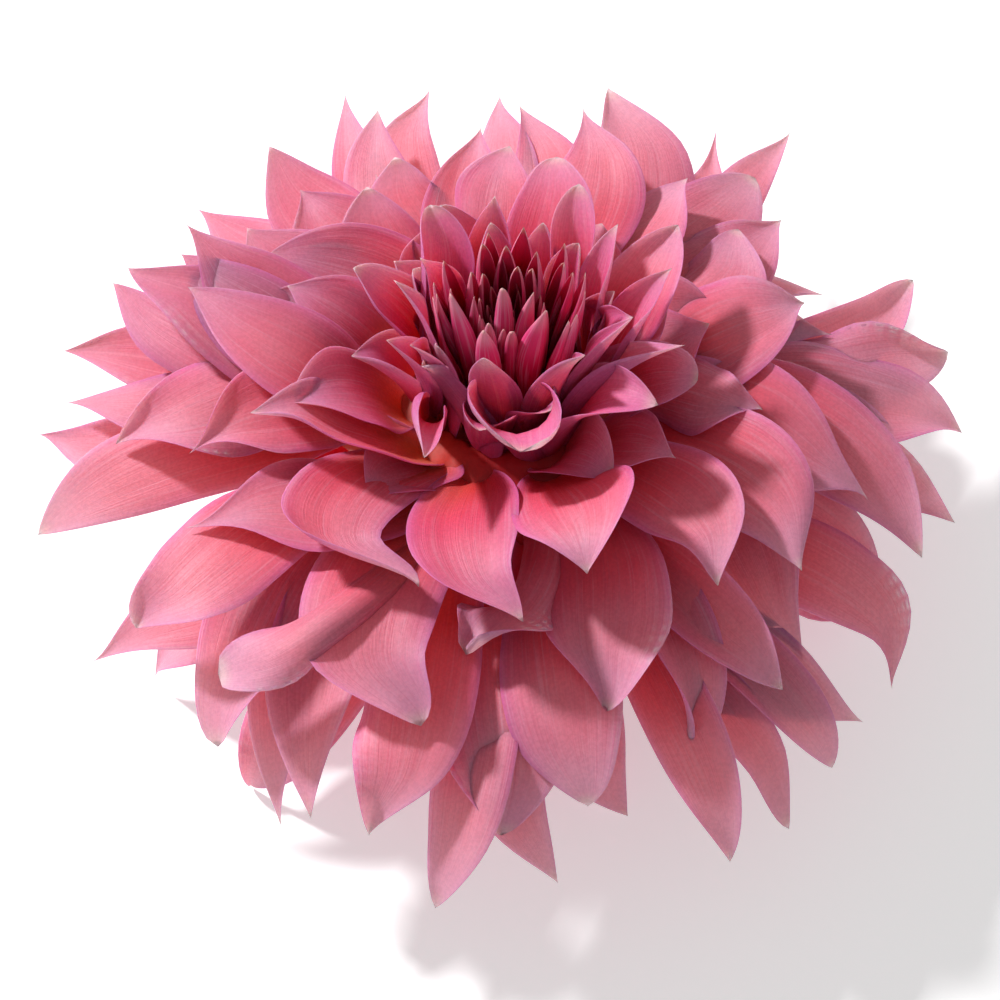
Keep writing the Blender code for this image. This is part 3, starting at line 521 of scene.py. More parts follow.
    @staticmethod
    def lean_over(form: Forms) -> None:
        """Lets the open petals lean as the bloom does, and turns their faces a little to the front.

        The nod goes with the sine of the turn, the tilt with the cosine of the turn from the high side,
        and the lift at the back is a smooth step of the sine of the turn.

        Args:
            form: The florets' forms, changed in place.
        """
        turn, layer = form["turn"], form["layer"]
        opened = np.clip((8.0 - layer) / 2.0, 0.0, 1.0)
        lean = NOD * np.sin(turn) * opened
        tilt = TILT_RISE * tilted(turn, layer)
        lift = BACK_LIFT * smooth(np.sin(turn), *BACK_FROM) * np.clip((INNER_LAYER - layer) / 2.0, 0.0, 1.0)
        form["rise_root"] += 0.5 * (lean + tilt)
        form["rise_tip"] += lean + tilt + lift
        form["roll"] += FACING * np.cos(turn + FACING_TURN) * opened


@dataclass(frozen=True)
class Clearance:
    """How far florets keep from the table, and from the cone that parts the heart from the open petals."""

    table: float = 0.6 * MM
    table_ease: float = 2.0 * MM
    heart_radius: float = 14.6 * MM
    heart_flare: float = 0.06
    heart_base: float = 62.0 * MM
    gap: float = 0.6 * MM
    ease: float = 1.6 * MM

    def radius_and_cone(self, points: Array) -> tuple[Array, Array]:
        """Each point's distance from Z, and the cone's radius at its height, which grows evenly upwards."""
        radius = np.maximum(np.hypot(points[..., 0], points[..., 1]), 0.01 * MM)
        return radius, self.heart_radius + self.heart_flare * (points[..., 2] - self.heart_base)

    @staticmethod
    def at_radius(points: Array, share: Array) -> Array:
        """Points with their distance from Z multiplied by a share."""
        return np.concatenate([points[..., :2] * share[..., None], points[..., 2:]], axis=-1)

    def above_table(self, points: Array) -> Array:
        """Points eased up, so that a drooping blade lies along the table and never below it."""
        height = ease_above(points[..., 2:], self.table, self.table_ease)
        return np.concatenate([points[..., :2], height], axis=-1)

    def outside_heart(self, points: Array) -> Array:
        """Points of an open petal, eased clear of the heart's cone and above the table."""
        radius, cone = self.radius_and_cone(points)
        wanted = ease_above(radius, cone + self.gap, self.ease)
        return self.at_radius(self.above_table(points), wanted / radius)

    def inside_heart(self, points: Array) -> Array:
        """Points of a shut floret, eased inside the heart's cone."""
        radius, cone = self.radius_and_cone(points)
        wanted = np.maximum(-ease_above(-radius, self.gap - cone, self.ease), 0.3 * radius)
        return self.at_radius(points, wanted / radius)


class Face(Enum):
    """The side of a blade that a point is on, as the value that its attribute holds."""

    UNDER = 0.0
    RIM = 0.5
    UPPER = 1.0


@dataclass
class Shell:
    """A closed surface ready for a mesh: points, faces and a few values at each point."""

    points: Array
    quads: npt.NDArray[np.int64]
    triangles: npt.NDArray[np.int64]
    values: dict[str, Array]

    def to_object(self, name: str) -> bpy.types.Object:
        """A smooth-shaded scene object of this shell, at the origin.

        Args:
            name: The piece's name.

        Returns:
            The new object, with each value as a point attribute.
        """
        corners = np.concatenate([self.quads.ravel(), self.triangles.ravel()])
        starts = np.concatenate([
            4 * np.arange(len(self.quads)),
            4 * len(self.quads) + 3 * np.arange(len(self.triangles)),
        ])
        mesh = bpy.data.meshes.new(name)
        mesh.vertices.add(len(self.points))
        mesh.vertices.foreach_set("co", self.points.astype(np.float32).ravel())
        mesh.loops.add(len(corners))
        mesh.loops.foreach_set("vertex_index", corners.astype(np.int32))
        mesh.polygons.add(len(starts))
        mesh.polygons.foreach_set("loop_start", starts.astype(np.int32))
        mesh.polygons.foreach_set("use_smooth", np.ones(len(starts), bool))
        mesh.update(calc_edges=True)
        for key, value in self.values.items():
            held = mesh.attributes.new(key, "FLOAT", "POINT")
            held.data.foreach_set("value", value.astype(np.float32).ravel())
        made = bpy.data.objects.new(name, mesh)
        bpy.context.scene.collection.objects.link(made)
        return made


def ring_shell(rings: Array, values: dict[str, Array], poles: Array | None = None) -> Shell:
    """Closes rows of rings into shells: each ring joined to the next, and a pole at either end.

    Args:
        rings: Points as (shell, row, corner, 3), each ring running left to right when seen from outside
            with the rows going up.
        values: Values at those points as (shell, row, corner).
        poles: The two end points of each shell, or None for the middles of its end rings.

    Returns:
        One shell that holds them all, with two more points for the poles of each.
    """
    count, rows, corners, _ = rings.shape
    poles = rings[:, [0, -1]].mean(axis=2) if poles is None else poles
    points = np.concatenate([rings.reshape(count, -1, 3), poles], axis=1)
    size = rows * corners + 2
    at = np.arange(rows * corners).reshape(rows, corners)
    beside = np.roll(at, -1, axis=1)
    quads = np.stack([at[:-1], beside[:-1], beside[1:], at[1:]], axis=-1).reshape(-1, 4)
    foot = np.stack([np.full(corners, size - 2), beside[0], at[0]], axis=-1)
    top = np.stack([at[-1], beside[-1], np.full(corners, size - 1)], axis=-1)
    shift = (np.arange(count) * size)[:, None, None]
    held = {
        key: np.concatenate([value.reshape(count, -1), value[:, [0, -1]].mean(axis=2)], axis=1)
        for key, value in values.items()
    }
    return Shell(
        points.reshape(-1, 3),
        (quads + shift).reshape(-1, 4),
        (np.concatenate([foot, top]) + shift).reshape(-1, 3),
        held,
    )


@dataclass
class Blades:
    """Curved blades, each a surface of two parameters: s from root to tip and u from edge to edge.

    The midrib is a cubic in the floret's own upright plane. The blade is folded about it by an angle
    that grows from midrib to edge, and turned to the floret's heading.
    """

    form: Forms
    settle: Callable[[Array], Array]
    stations: int = 30
    strips: int = 14
    thickness: float = 0.45 * MM
    claw: float = 0.14
    widest: float = 0.58

    def column(self, name: str) -> Array:
        """A form value of every blade as a column, so that it spreads along the stations."""
        return self.form[name][:, None]

    def midribs(self, s: Array) -> tuple[Array, Array, Array]:
        """The midribs: cubics from root to tip whose arms are 0.36 of the chord, drifting to their side.

        Args:
            s: The stations, as a row.

        Returns:
            The points (blade, station, 3), each blade's level heading and each blade's chord.
        """
        run = self.column("tip_out") - self.column("root_out")
        climb = self.column("tip_up") - self.column("root_up")
        chord = np.hypot(run, climb)
        arm = 0.36 * chord
        weights = ((1 - s) ** 3, 3 * s * (1 - s) ** 2, 3 * s**2 * (1 - s), s**3)

        def cubic(kind: str, turned: Callable[[Array], Array]) -> Array:
            """One coordinate of the cubic: its four points weighed by the station."""
            root, tip = self.column("root_" + kind), self.column("tip_" + kind)
            first = root + arm * turned(self.column("rise_root"))
            second = tip - arm * turned(self.column("rise_tip"))
            return weights[0] * root + weights[1] * first + weights[2] * second + weights[3] * tip

        drift = self.column("side") * s**SWING_POWER
        line = np.stack([cubic("out", np.cos), drift, cubic("up", np.sin)], axis=-1)
        heading = unit(np.stack([run + 0.5 * chord, self.column("side"), np.zeros_like(run)], axis=-1))
        return line, heading, chord

    def frames(self, s: Array) -> tuple[Array, Array, Array]:
        """The midribs with each blade's side and face directions.

        The side is level and square to the midrib, the face is side x along, both turned about the
        midrib by the roll near the root and the twist times s to the power 1.8. The hook bends the
        outer third towards the face, and the crook swings the midrib out to its side by s = 0.8 and
        back again at the tip.

        Args:
            s: The stations, as a row.

        Returns:
            The midrib points, the side directions and the face directions, each (blade, station, 3).
        """
        line, heading, chord = self.midribs(s)
        along = unit(np.gradient(line, s[0], axis=1))
        level = np.stack([heading[..., 1], -heading[..., 0], heading[..., 2]], axis=-1) + 0 * along
        side = unit(level - np.sum(along * level, axis=-1, keepdims=True) * along)
        face = np.cross(side, along)
        angle = (self.column("twist") * s**1.8 + self.column("roll") * smooth(s, 0.0, 0.4))[..., None]
        turned_face = np.cos(angle) * face + np.sin(angle) * side
        turned_side = np.cos(angle) * side - np.sin(angle) * face
        hook = self.column("hook") * chord * 0.32 * (smooth(s, 0.6, 1.25) - HOOK_AT_TIP * s**2)
        crook = self.column("crook") * chord * (smooth(s, 0.25, 0.8) - smooth(s, 0.8, 1.0))
        return line + hook[..., None] * turned_face + crook[..., None] * turned_side, turned_side, turned_face

    def half_widths(self, s: Array, u: Array) -> Array:
        """Half widths of the left and the right half of every blade.

        A narrow claw swells as a sine up to the widest place, then falls as (1 - x^2.3)^tail to the tip.
        The skew moves the widest place of the right half outwards and that of the left half inwards.

        Args:
            s: The stations, as a row.
            u: From -1 at the left edge to 1 at the right edge.

        Returns:
            The half widths (blade, station, place across).
        """
        s = s[..., None]
        widest = self.widest + self.column("skew")[..., None] * u
        swell = self.claw + (1 - self.claw) * np.sin(np.pi / 2 * np.clip(s / widest, 0, 1)) ** 1.5
        tip_share = np.clip((s - widest) / (1 - widest), 0, 1)
        share = np.where(s < widest, swell, (1 - tip_share**2.3) ** self.column("tail")[..., None])
        return 0.5 * self.column("width")[..., None] * share

    def folds(self, s: Array) -> Array:
        """The fold of each half blade in radians, smoothly from its root's to its middle's to its tip's."""
        root, middle, tip = (self.column("fold_" + part) for part in ("root", "mid", "tip"))
        return root + (middle - root) * smooth(s, 0.0, 0.45) + (tip - middle) * smooth(s, 0.66, 1.0)

    def sections(self, s: Array, u: Array) -> tuple[Array, Array]:
        """The folded sections across the blade, for a half width of 1.

        The surface turns by fold * (0.75 u + 0.25 u^3) at u, more on one half than on the other by the
        lop, and its place is the running sum of that direction from the midrib. Three soft pleats, the
        midrib's groove and a ruffle that grows with u squared are added to the height.

        Args:
            s: The stations, as a row.
            u: From -1 at the left edge to 1 at the right edge.

        Returns:
            Distances across and up, each (blade, station, place across).
        """
        fold = self.folds(s)[..., None]
        lop = 1 + self.column("lop")[..., None] * np.sign(u) * smooth(s, 0.2, 0.7)[..., None]
        angle = fold * lop * (0.75 * u + 0.25 * u**3)
        step = np.diff(u)
        across = np.cumsum((np.cos(angle[..., 1:]) + np.cos(angle[..., :-1])) / 2 * step, axis=-1)
        up = np.cumsum((np.sin(angle[..., 1:]) + np.sin(angle[..., :-1])) / 2 * step, axis=-1)
        across = np.concatenate([np.zeros_like(across[..., :1]), across], axis=-1)
        up = np.concatenate([np.zeros_like(up[..., :1]), up], axis=-1)
        middle = len(u) // 2
        across, up = across - across[..., middle : middle + 1], up - up[..., middle : middle + 1]
        beats = self.column("waves")[..., None] * s[..., None] + 0.3 * np.sign(u)
        ruffle = u**2 * np.sin(2 * np.pi * beats + self.column("wave")[..., None])
        ruffle = ruffle * smooth(s, 0.15, 0.5)[..., None] * self.column("ruffle")[..., None]
        blade = (smooth(s, 0.05, 0.35) * (1 - smooth(s, 0.72, 0.98)))[..., None]
        pleats = 0.035 * self.column("pleat")[..., None] * np.cos(3 * np.pi * u) * (1 - u**2)
        groove = 0.035 * np.exp(-((u / 0.1) ** 2))
        return across, up + ruffle + (pleats - groove) * blade

    def surface(self) -> tuple[Array, Array, Array]:
        """Every blade's middle surface: the midrib plus the folded section, turned and settled.

        Returns:
            The points (blade, station, place across, 3), the stations and the places across.
        """
        s = (1 - (1 - np.linspace(0.0, 1.0, self.stations + 1)) ** 1.2)[None, :]
        u = np.linspace(-1.0, 1.0, self.strips + 1)
        line, side, face = self.frames(s)
        across, up = self.sections(s, u)
        half = self.half_widths(s, u)
        blade = line[:, :, None] + (half * across)[..., None] * side[:, :, None]
        blade = blade + (half * up)[..., None] * face[:, :, None]
        cosine, sine = np.cos(self.form["turn"])[:, None, None], np.sin(self.form["turn"])[:, None, None]
        x, y = blade[..., 0], blade[..., 1]
        turned = np.stack([x * cosine - y * sine, x * sine + y * cosine, blade[..., 2]], axis=-1)
        return self.settle(turned), s[0], u

    def shell(self) -> Shell:
        """Every blade as a thin closed shell with a rounded rim.

        The middle surface is moved out by half the thickness either way, which is thinner towards the
        edges, as 1 - 0.5 |u|^3, and towards the tip. The rim's point stands as far out beside the edge.

        Returns:
            The shell, with values across, along, layer, tone and face.
        """
        middle, s, u = self.surface()
        along, over = np.gradient(middle, axis=1), unit(np.gradient(middle, axis=2))
        normal = unit(np.cross(over, along))
        depth = 0.5 * self.thickness * (1 - 0.5 * np.abs(u) ** 3) * (1 - 0.7 * s[:, None] ** 3)
        offset = (depth[None, :, :, None] * normal)[:, :-1]
        blade, edge = middle[:, :-1], (depth[None, :, :, None] * over)[:, :-1]
        upper, lower = blade + offset, blade - offset
        left, right = blade[:, :, :1] - edge[:, :, :1], blade[:, :, -1:] + edge[:, :, -1:]
        rings = np.concatenate([left, upper, right, lower[:, :, ::-1]], axis=2)
        shape = rings.shape[:3]
        ring_u = np.concatenate([[-1.0], u, [1.0], u[::-1]])
        sides = [Face.RIM.value, Face.UPPER.value, Face.RIM.value, Face.UNDER.value]
        face = np.repeat(sides, [1, len(u)] * 2)
        values = {
            "across": np.broadcast_to(ring_u, shape),
            "along": np.broadcast_to(s[None, :-1, None], shape),
            "face": np.broadcast_to(face, shape),
            "layer": np.broadcast_to(self.form["layer"][:, None, None], shape),
            "tone": np.broadcast_to(self.form["tone"][:, None, None], shape),
        }
        root = blade[:, 0].mean(axis=1)
        return ring_shell(rings, values, np.stack([root, middle[:, -1, len(u) // 2]], axis=1))


def chosen(form: Forms, keep: npt.NDArray[np.bool_]) -> Forms:
    """The forms of some of the florets.

    Args:
        form: The forms of all the florets.
        keep: Which florets to keep.

    Returns:
        The same form values for those florets alone.
    """
    return {name: values[keep] for name, values in form.items()}


class Field:
    """A shader socket that takes part in Python arithmetic: each operator adds its own Math node."""

    def __init__(self, bench: "Bench", socket: bpy.types.NodeSocket) -> None:
        """Keeps the socket and the material it belongs to."""
        self.bench = bench
        self.socket = socket

    def maths(self, operation: str, *values: "Field | float") -> "Field":
        """One Math node of an operation, fed with values or fields."""
        return self.bench.out("ShaderNodeMath", {"operation": operation}, dict(enumerate(values)))

    def __add__(self, other: "Field | float") -> "Field":
        """This plus another."""
        return self.maths("ADD", self, other)

    def __radd__(self, other: float) -> "Field":
        """A number plus this."""
        return self.maths("ADD", other, self)

    def __sub__(self, other: "Field | float") -> "Field":
        """This less another."""
        return self.maths("SUBTRACT", self, other)

    def __rsub__(self, other: float) -> "Field":
        """A number less this."""
        return self.maths("SUBTRACT", other, self)

    def __mul__(self, other: "Field | float") -> "Field":
        """This times another."""
        return self.maths("MULTIPLY", self, other)

    def __rmul__(self, other: float) -> "Field":
        """A number times this."""
        return self.maths("MULTIPLY", other, self)

    def __truediv__(self, other: "Field | float") -> "Field":
        """This divided by another."""
        return self.maths("DIVIDE", self, other)

    def __pow__(self, other: "Field | float") -> "Field":
        """This to a power."""
        return self.maths("POWER", self, other)

    def __abs__(self) -> "Field":
        """This without its sign."""
        return self.maths("ABSOLUTE", self)

    def step(self, low: float, high: float) -> "Field":
        """A smooth step of this from 0 at low to 1 at high."""
        settings = {"interpolation_type": "SMOOTHSTEP"}
        inputs = {"Value": self, "From Min": low, "From Max": high}
        return self.bench.out("ShaderNodeMapRange", settings, inputs)


@dataclass
class Bench:
    """A material on the bench: its node tree, and one way to add any node to it."""

    name: str
    material: bpy.types.Material = field(init=False)

    def __post_init__(self) -> None:
        """Makes the material with an empty node tree."""
        self.material = bpy.data.materials.new(self.name)
        self.material.use_nodes = True
        self.material.node_tree.nodes.clear()

    def node(self, kind: str, settings: dict[str, Any], inputs: dict[str | int, Any]) -> bpy.types.Node:
        """Adds a node: its settings first, then the values or links of its sockets.

        Args:
            kind: Blender's name for the node's type.
            settings: Properties of the node. A ramp's stops go under "stops", as (place, colour) pairs.
            inputs: Values or fields by socket name or number.

        Returns:
            The node.
        """
        made = self.material.node_tree.nodes.new(kind)
        for key, value in settings.items():
            if key == "stops":
                set_stops(made.color_ramp, value)
            else:
                setattr(made, key, value)
        for key, value in inputs.items():
            socket = made.inputs[key]
            if isinstance(value, Field):
                self.material.node_tree.links.new(value.socket, socket)
            else:
                socket.default_value = opaque(value) if socket.type == "RGBA" else value
        return made

    def out(
        self, kind: str, settings: dict[str, Any], inputs: dict[str | int, Any], output: str | int = 0
    ) -> Field:
        """Adds a node, and gives one of its outputs as a field."""
        return Field(self, self.node(kind, settings, inputs).outputs[output])

    def value(self, name: str) -> Field:
        """A point attribute of the piece."""
        return self.out("ShaderNodeAttribute", {"attribute_name": name}, {}, "Fac")

    def place(self) -> Field:
        """The point's Object coordinates."""
        return self.out("ShaderNodeTexCoord", {}, {}, "Object")

    def vector(self, x: "Field | float", y: "Field | float", z: "Field | float") -> Field:
        """A vector of three values."""
        return self.out("ShaderNodeCombineXYZ", {}, {"X": x, "Y": y, "Z": z})

    def scaled(self, vector: Field, factor: tuple[float, float, float]) -> Field:
        """A vector multiplied part by part."""
        return self.out("ShaderNodeVectorMath", {"operation": "MULTIPLY"}, {0: vector, 1: factor})

    def noise(self, vector: Field, scale: float, detail: float = 2.0, rough: float = 0.5) -> Field:
        """Soft noise over a vector, about 0.5."""
        inputs = {"Vector": vector, "Scale": scale, "Detail": detail, "Roughness": rough}
        return self.out("ShaderNodeTexNoise", {}, inputs)

    def ramp(self, share: Field, stops: Stops) -> Field:
        """Colours along a share, smooth between the stops."""
        return self.out("ShaderNodeValToRGB", {"stops": stops}, {"Fac": share}, "Color")

    def mix(self, share: "Field | float", first: Any, second: Any, kind: str = "MIX") -> Field:
        """A colour between two by a share, or one laid on the other in some other way."""
        settings = {"data_type": "RGBA", "blend_type": kind, "clamp_factor": True}
        return self.out("ShaderNodeMix", settings, {0: share, 6: first, 7: second}, 2)

    def dappled(self, share: float, colour: Field, spots: Field, span: Span, dim: Colour) -> Field:
        """A colour multiplied, by a share, with a dim one where the spots are low.

        Args:
            share: How much of the dimming is taken.
            colour: The colour to dapple.
            spots: A field of soft noise.
            span: The noise's values that are fully dim and fully clear.
            dim: The dim colour.

        Returns:
            The dappled colour.
        """
        stops = ((span[0], dim), (span[1], (1.0, 1.0, 1.0)))
        return self.mix(share, colour, self.ramp(spots, stops), "MULTIPLY")

    def finish(self, **inputs: Any) -> bpy.types.Material:
        """Closes the material with a Principled shader of these sockets, and returns it."""
        named = {key.replace("_", " ").title().replace("Ior", "IOR"): value for key, value in inputs.items()}
        shader = self.out("ShaderNodeBsdfPrincipled", {}, named)
        self.node("ShaderNodeOutputMaterial", {}, {"Surface": shader})
        return self.material

    def bump(self, height: Field, distance: float, strength: float = 1.0) -> Field:
        """A Bump node: the height in shares of a distance."""
        return self.out("ShaderNodeBump", {}, {"Height": height, "Distance": distance, "Strength": strength})


def opaque(value: Any) -> Any:
    """A colour of three numbers with its fourth, 1. A colour of four is left as it is."""
    return (*value, 1.0) if isinstance(value, tuple) and len(value) == 3 else value


def set_stops(ramp: bpy.types.ColorRamp, stops: Stops) -> None:
    """Gives a colour ramp its stops.

    Args:
        ramp: The ramp of a node.
        stops: (place, colour) pairs in order.
    """
    ramp.interpolation = "EASE"
    while len(ramp.elements) < len(stops):
        ramp.elements.new(1.0)
    for element, (place, colour) in zip(ramp.elements, stops):
        element.position, element.color = place, opaque(colour)


@dataclass(frozen=True)
class PetalFinish:
    """Salmon pink petals: coral throats, lilac edges and undersides, fine lengthwise veins and pale tips."""

    outer: Stops = (
        (0.0, (0.50, 0.004, 0.015)),
        (0.28, (0.72, 0.014, 0.045)),
        (0.5, (0.86, 0.085, 0.13)),
        (0.74, (0.86, 0.18, 0.25)),
        (0.95, (0.82, 0.28, 0.41)),
        (1.0, (0.84, 0.52, 0.50)),
    )
    inner: Stops = (
        (0.0, (0.42, 0.0, 0.015)),
        (0.3, (0.66, 0.002, 0.05)),
        (0.6, (0.78, 0.025, 0.14)),
        (0.92, (0.78, 0.13, 0.32)),
        (1.0, (0.84, 0.42, 0.44)),
    )
    under: Stops = (
        (0.0, (0.50, 0.010, 0.05)),
        (0.4, (0.60, 0.05, 0.18)),
        (0.8, (0.64, 0.15, 0.33)),
        (1.0, (0.78, 0.42, 0.50)),
    )
    edge: Colour = (0.68, 0.14, 0.38)
    vein: Colour = (0.64, 0.05, 0.14)
    pale: Colour = (0.86, 0.38, 0.48)
    # Painted light: the orange of lamp light shining through the petals' throats
    painted_glow: Colour = (0.96, 0.20, 0.04)
    # Partly painted shade and partly the petals' own mauve tint, for the petals at the back left
    mauve_and_shade: Colour = (0.46, 0.10, 0.20)

    @staticmethod
    def mauve_and_shade_share(bench: Bench) -> Field:
        """How far a point is in the high side's petals, with painted shade and a mauve tint: smoothly from 0
        to 1.
        """
        parted = {"Vector": bench.place()}
        x = bench.out("ShaderNodeSeparateXYZ", {}, parted, "X")
        y = bench.out("ShaderNodeSeparateXYZ", {}, parted, "Y")
        return (x * -1.0).step(28.0 * MM, 70.0 * MM) * y.step(-12.0 * MM, 20.0 * MM)

    @staticmethod
    def backlit_left(bench: Bench) -> Field:
        """How far a point is on the bloom's left, where painted light glows orange through the throats:
        smoothly from 0 to 1.
        """
        x = bench.out("ShaderNodeSeparateXYZ", {}, {"Vector": bench.place()}, "X")
        return (x * -1.0).step(0.0, 24.0 * MM)

    def material(self, name: str) -> bpy.types.Material:
        """The finish as a material.

        Args:
            name: The material's name.

        Returns:
            A Principled material that lets some light through.
        """
        bench = Bench(name)
        along, across, layer = bench.value("along"), bench.value("across"), bench.value("layer")
        tone, upper = bench.value("tone"), bench.value("face")
        young = layer.step(4.5, 8.0)
        colour = bench.mix(young, bench.ramp(along, self.outer), bench.ramp(along, self.inner))
        backlit_left = self.backlit_left(bench)
        throat = (1 - along.step(0.25, 0.6)) * (0.3 + 0.7 * tone)
        throat = throat * layer.step(0.8, 2.5) * (1 - layer.step(5.5, 8.0))
        # Painted light: an orange glow where the lamp behind shines through the throats, strongest on the
        # bloom's left
        colour = bench.mix(throat * (0.12 + 0.75 * backlit_left), colour, self.painted_glow)
        old = (1 - layer.step(0.0, 4.8)) * along.step(0.2, 0.9)
        colour = bench.mix(old * 0.42, colour, self.pale)
        below = bench.mix(old * 0.4, bench.ramp(along, self.under), self.pale)
        colour = bench.mix(1 - upper, colour, below)
        # Painted shade and a mauve tint: the petals at the back left, which lie in shade, are darkened
        # towards mauve
        colour = bench.mix(self.mauve_and_shade_share(bench) * 0.8, colour, self.mauve_and_shade)
        rim = abs(across)
        colour = bench.mix(rim ** 9.0 * 0.55 + rim ** 2.0 * 0.22, colour, self.edge)
        strands = bench.noise(bench.vector(across * 16.0 + tone * 40.0, along * 1.5, layer), 2.2, 4.0, 0.65)
        veins = strands.step(0.44, 0.68) * along.step(0.05, 0.3) * 0.24
        colour = bench.mix(veins, colour, self.vein)
        lights = bench.noise(bench.vector(across * 9.0 - tone * 30.0, along * 1.1, layer), 2.0, 3.0, 0.6)
        colour = bench.mix(lights.step(0.48, 0.75) * along.step(0.2, 0.6) * 0.3, colour, self.pale)
        patches = bench.noise(bench.place(), 70.0, 3.0)
        colour = bench.dappled(0.5, colour, patches, (0.3, 0.7), (0.82, 0.70, 0.78))
        grain = bench.noise(bench.place(), 1400.0, 2.0)
        colour = bench.dappled(0.35, colour, grain, (0.35, 0.65), (0.75, 0.68, 0.72))
        normal = bench.bump(strands * 0.8 + grain * 0.2, 0.3 * MM, 0.6)
        return bench.finish(
            base_color=colour,
            roughness=0.55 - 0.12 * patches,
            normal=normal,
            subsurface_weight=0.5,
            subsurface_radius=(1.0, 0.35, 0.3),
            subsurface_scale=4.0 * MM,
            specular_ior_level=0.35,
        )


@dataclass(frozen=True)
class HeartFinish:
    """Deep magenta shut florets: striped pink backs, dark crimson insides and cream-green points."""

    back: Stops = (
        (0.0, (0.34, 0.0, 0.015)),
        (0.45, (0.64, 0.004, 0.09)),
        (0.8, (0.78, 0.06, 0.22)),
        (0.96, (0.82, 0.26, 0.36)),
        (1.0, (0.84, 0.60, 0.45)),
    )
    inside: Stops = (
        (0.0, (0.20, 0.0, 0.0)),
        (0.6, (0.46, 0.0, 0.03)),
        (0.92, (0.66, 0.04, 0.14)),
        (1.0, (0.80, 0.50, 0.36)),
    )
    stripe: Colour = (0.78, 0.28, 0.44)
    eye: Colour = (0.26, 0.01, 0.02)

    def material(self, name: str) -> bpy.types.Material:
        """The finish as a material.

        Args:
            name: The material's name.

        Returns:
            A Principled material.
        """
        bench = Bench(name)
        along, across, layer = bench.value("along"), bench.value("across"), bench.value("layer")
        tone, upper = bench.value("tone"), bench.value("face")
        colour = bench.mix(upper, bench.ramp(along, self.back), bench.ramp(along, self.inside))
        strands = bench.noise(bench.vector(across * 6.0 + tone * 40.0, along * 0.9, layer), 2.0, 2.0, 0.5)
        stripes = strands.step(0.5, 0.62) * along.step(0.15, 0.6) * (1 - upper) * 0.7
        colour = bench.mix(stripes, colour, self.stripe)
        colour = bench.mix(layer.step(9.8, 11.2) * (1 - along.step(0.8, 1.0)) * 0.8, colour, self.eye)
        return bench.finish(
            base_color=colour,
            roughness=0.5 - 0.1 * strands,
            normal=bench.bump(strands, 0.25 * MM, 0.6),
            subsurface_weight=0.15,
            subsurface_radius=(1.0, 0.25, 0.3),
            subsurface_scale=2.0 * MM,
        )


@dataclass(frozen=True)
class GreenFinish:
    """Fresh green plant skin: fine pale strands along it, a paler top and a soft mottle."""

    deep: Colour = (0.07, 0.16, 0.03)
    fresh: Colour = (0.20, 0.34, 0.08)
    pale: Colour = (0.42, 0.50, 0.22)

    def material(self, name: str) -> bpy.types.Material:
        """The finish as a material, reading the piece's across and along.

        Args:
            name: The material's name.

        Returns:
            A Principled material.
        """
        bench = Bench(name)
        along, across = bench.value("along"), bench.value("across")
        mottle = bench.noise(bench.place(), 160.0, 3.0)
        strands = bench.noise(bench.vector(across * 8.0, along * 1.2, mottle * 0.1), 3.0, 2.0)
        colour = bench.mix(mottle, self.deep, self.fresh)
        colour = bench.mix(strands.step(0.5, 0.7) * 0.35, colour, self.pale)
        colour = bench.mix(along ** 3.0 * 0.5, colour, self.pale)
        return bench.finish(
            base_color=colour,
            roughness=0.62 - 0.15 * strands,
            normal=bench.bump(strands, 0.3 * MM, 0.7),
            subsurface_weight=0.1,
            subsurface_radius=(0.4, 1.0, 0.3),
            subsurface_scale=2.0 * MM,
        )


@dataclass(frozen=True)
class FloorFinish:
    """A plain pale floor with the faintest unevenness."""

    light: Colour = (0.93, 0.93, 0.93)
    shade: Colour = (0.88, 0.88, 0.88)

    def material(self, name: str) -> bpy.types.Material:
        """The finish as a material."""
        bench = Bench(name)
        uneven = bench.noise(bench.place(), 3.0, 2.0)
        return bench.finish(
            base_color=bench.mix(uneven, self.shade, self.light),
            roughness=0.8,
            emission_color=self.light,
            emission_strength=0.4,
        )


def stands_for(
    piece: bpy.types.Object, node: str, material: bpy.types.Material
) -> bpy.types.Object:
    """Dresses a piece and lets it ride on the bloom in a solid's place.

    Args:
        piece: The fine piece.
        node: The solid that it stands for.
        material: The finish.

    Returns:
        The same piece.
    """
    piece.data.materials.append(material)
    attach(piece, BODY)
    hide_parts(node)
    LOG.info("%s: %d faces for %s", piece.name, len(piece.data.polygons), node)
    return piece


def turned_shell(profile: list[tuple[float, float]], steps: int, waves: int = 0, depth: float = 0.0) -> Shell:
    """A closed shell turned round Z from a profile of (radius, height) that runs up.

    The radius at turn a is the profile's times 1 + depth * cos(waves * a), and the profile is drawn
    through at even steps of its length.

    Args:
        profile: The profile's corners, from near Z at the foot to near Z at the top.
        steps: Rows along the profile.
        waves: Flutes round the shell.
        depth: How deep the flutes are, as a share of the radius.

    Returns:
        The shell, with values across (the turn) and along (the height's share).
    """
    knots = np.array(profile)
    reach = np.concatenate([[0.0], np.cumsum(np.linalg.norm(np.diff(knots, axis=0), axis=1))])
    at = np.linspace(0.0, reach[-1], steps)
    radius, height = np.interp(at, reach, knots[:, 0]), np.interp(at, reach, knots[:, 1])
    turn = np.linspace(0.0, 2 * np.pi, 97)[:-1]
    flute = 1 + depth * np.cos(waves * turn)
    rings = np.stack([
        radius[:, None] * flute * np.cos(turn),
        radius[:, None] * flute * np.sin(turn),
        np.broadcast_to(height[:, None], (steps, len(turn))),
    ], axis=-1)[None]
    values = {
        "across": np.broadcast_to(3 * np.cos(waves * turn), (1, steps, len(turn))),
        "along": np.broadcast_to((at / reach[-1])[None, :, None], (1, steps, len(turn))),
    }
    return ring_shell(rings, values)


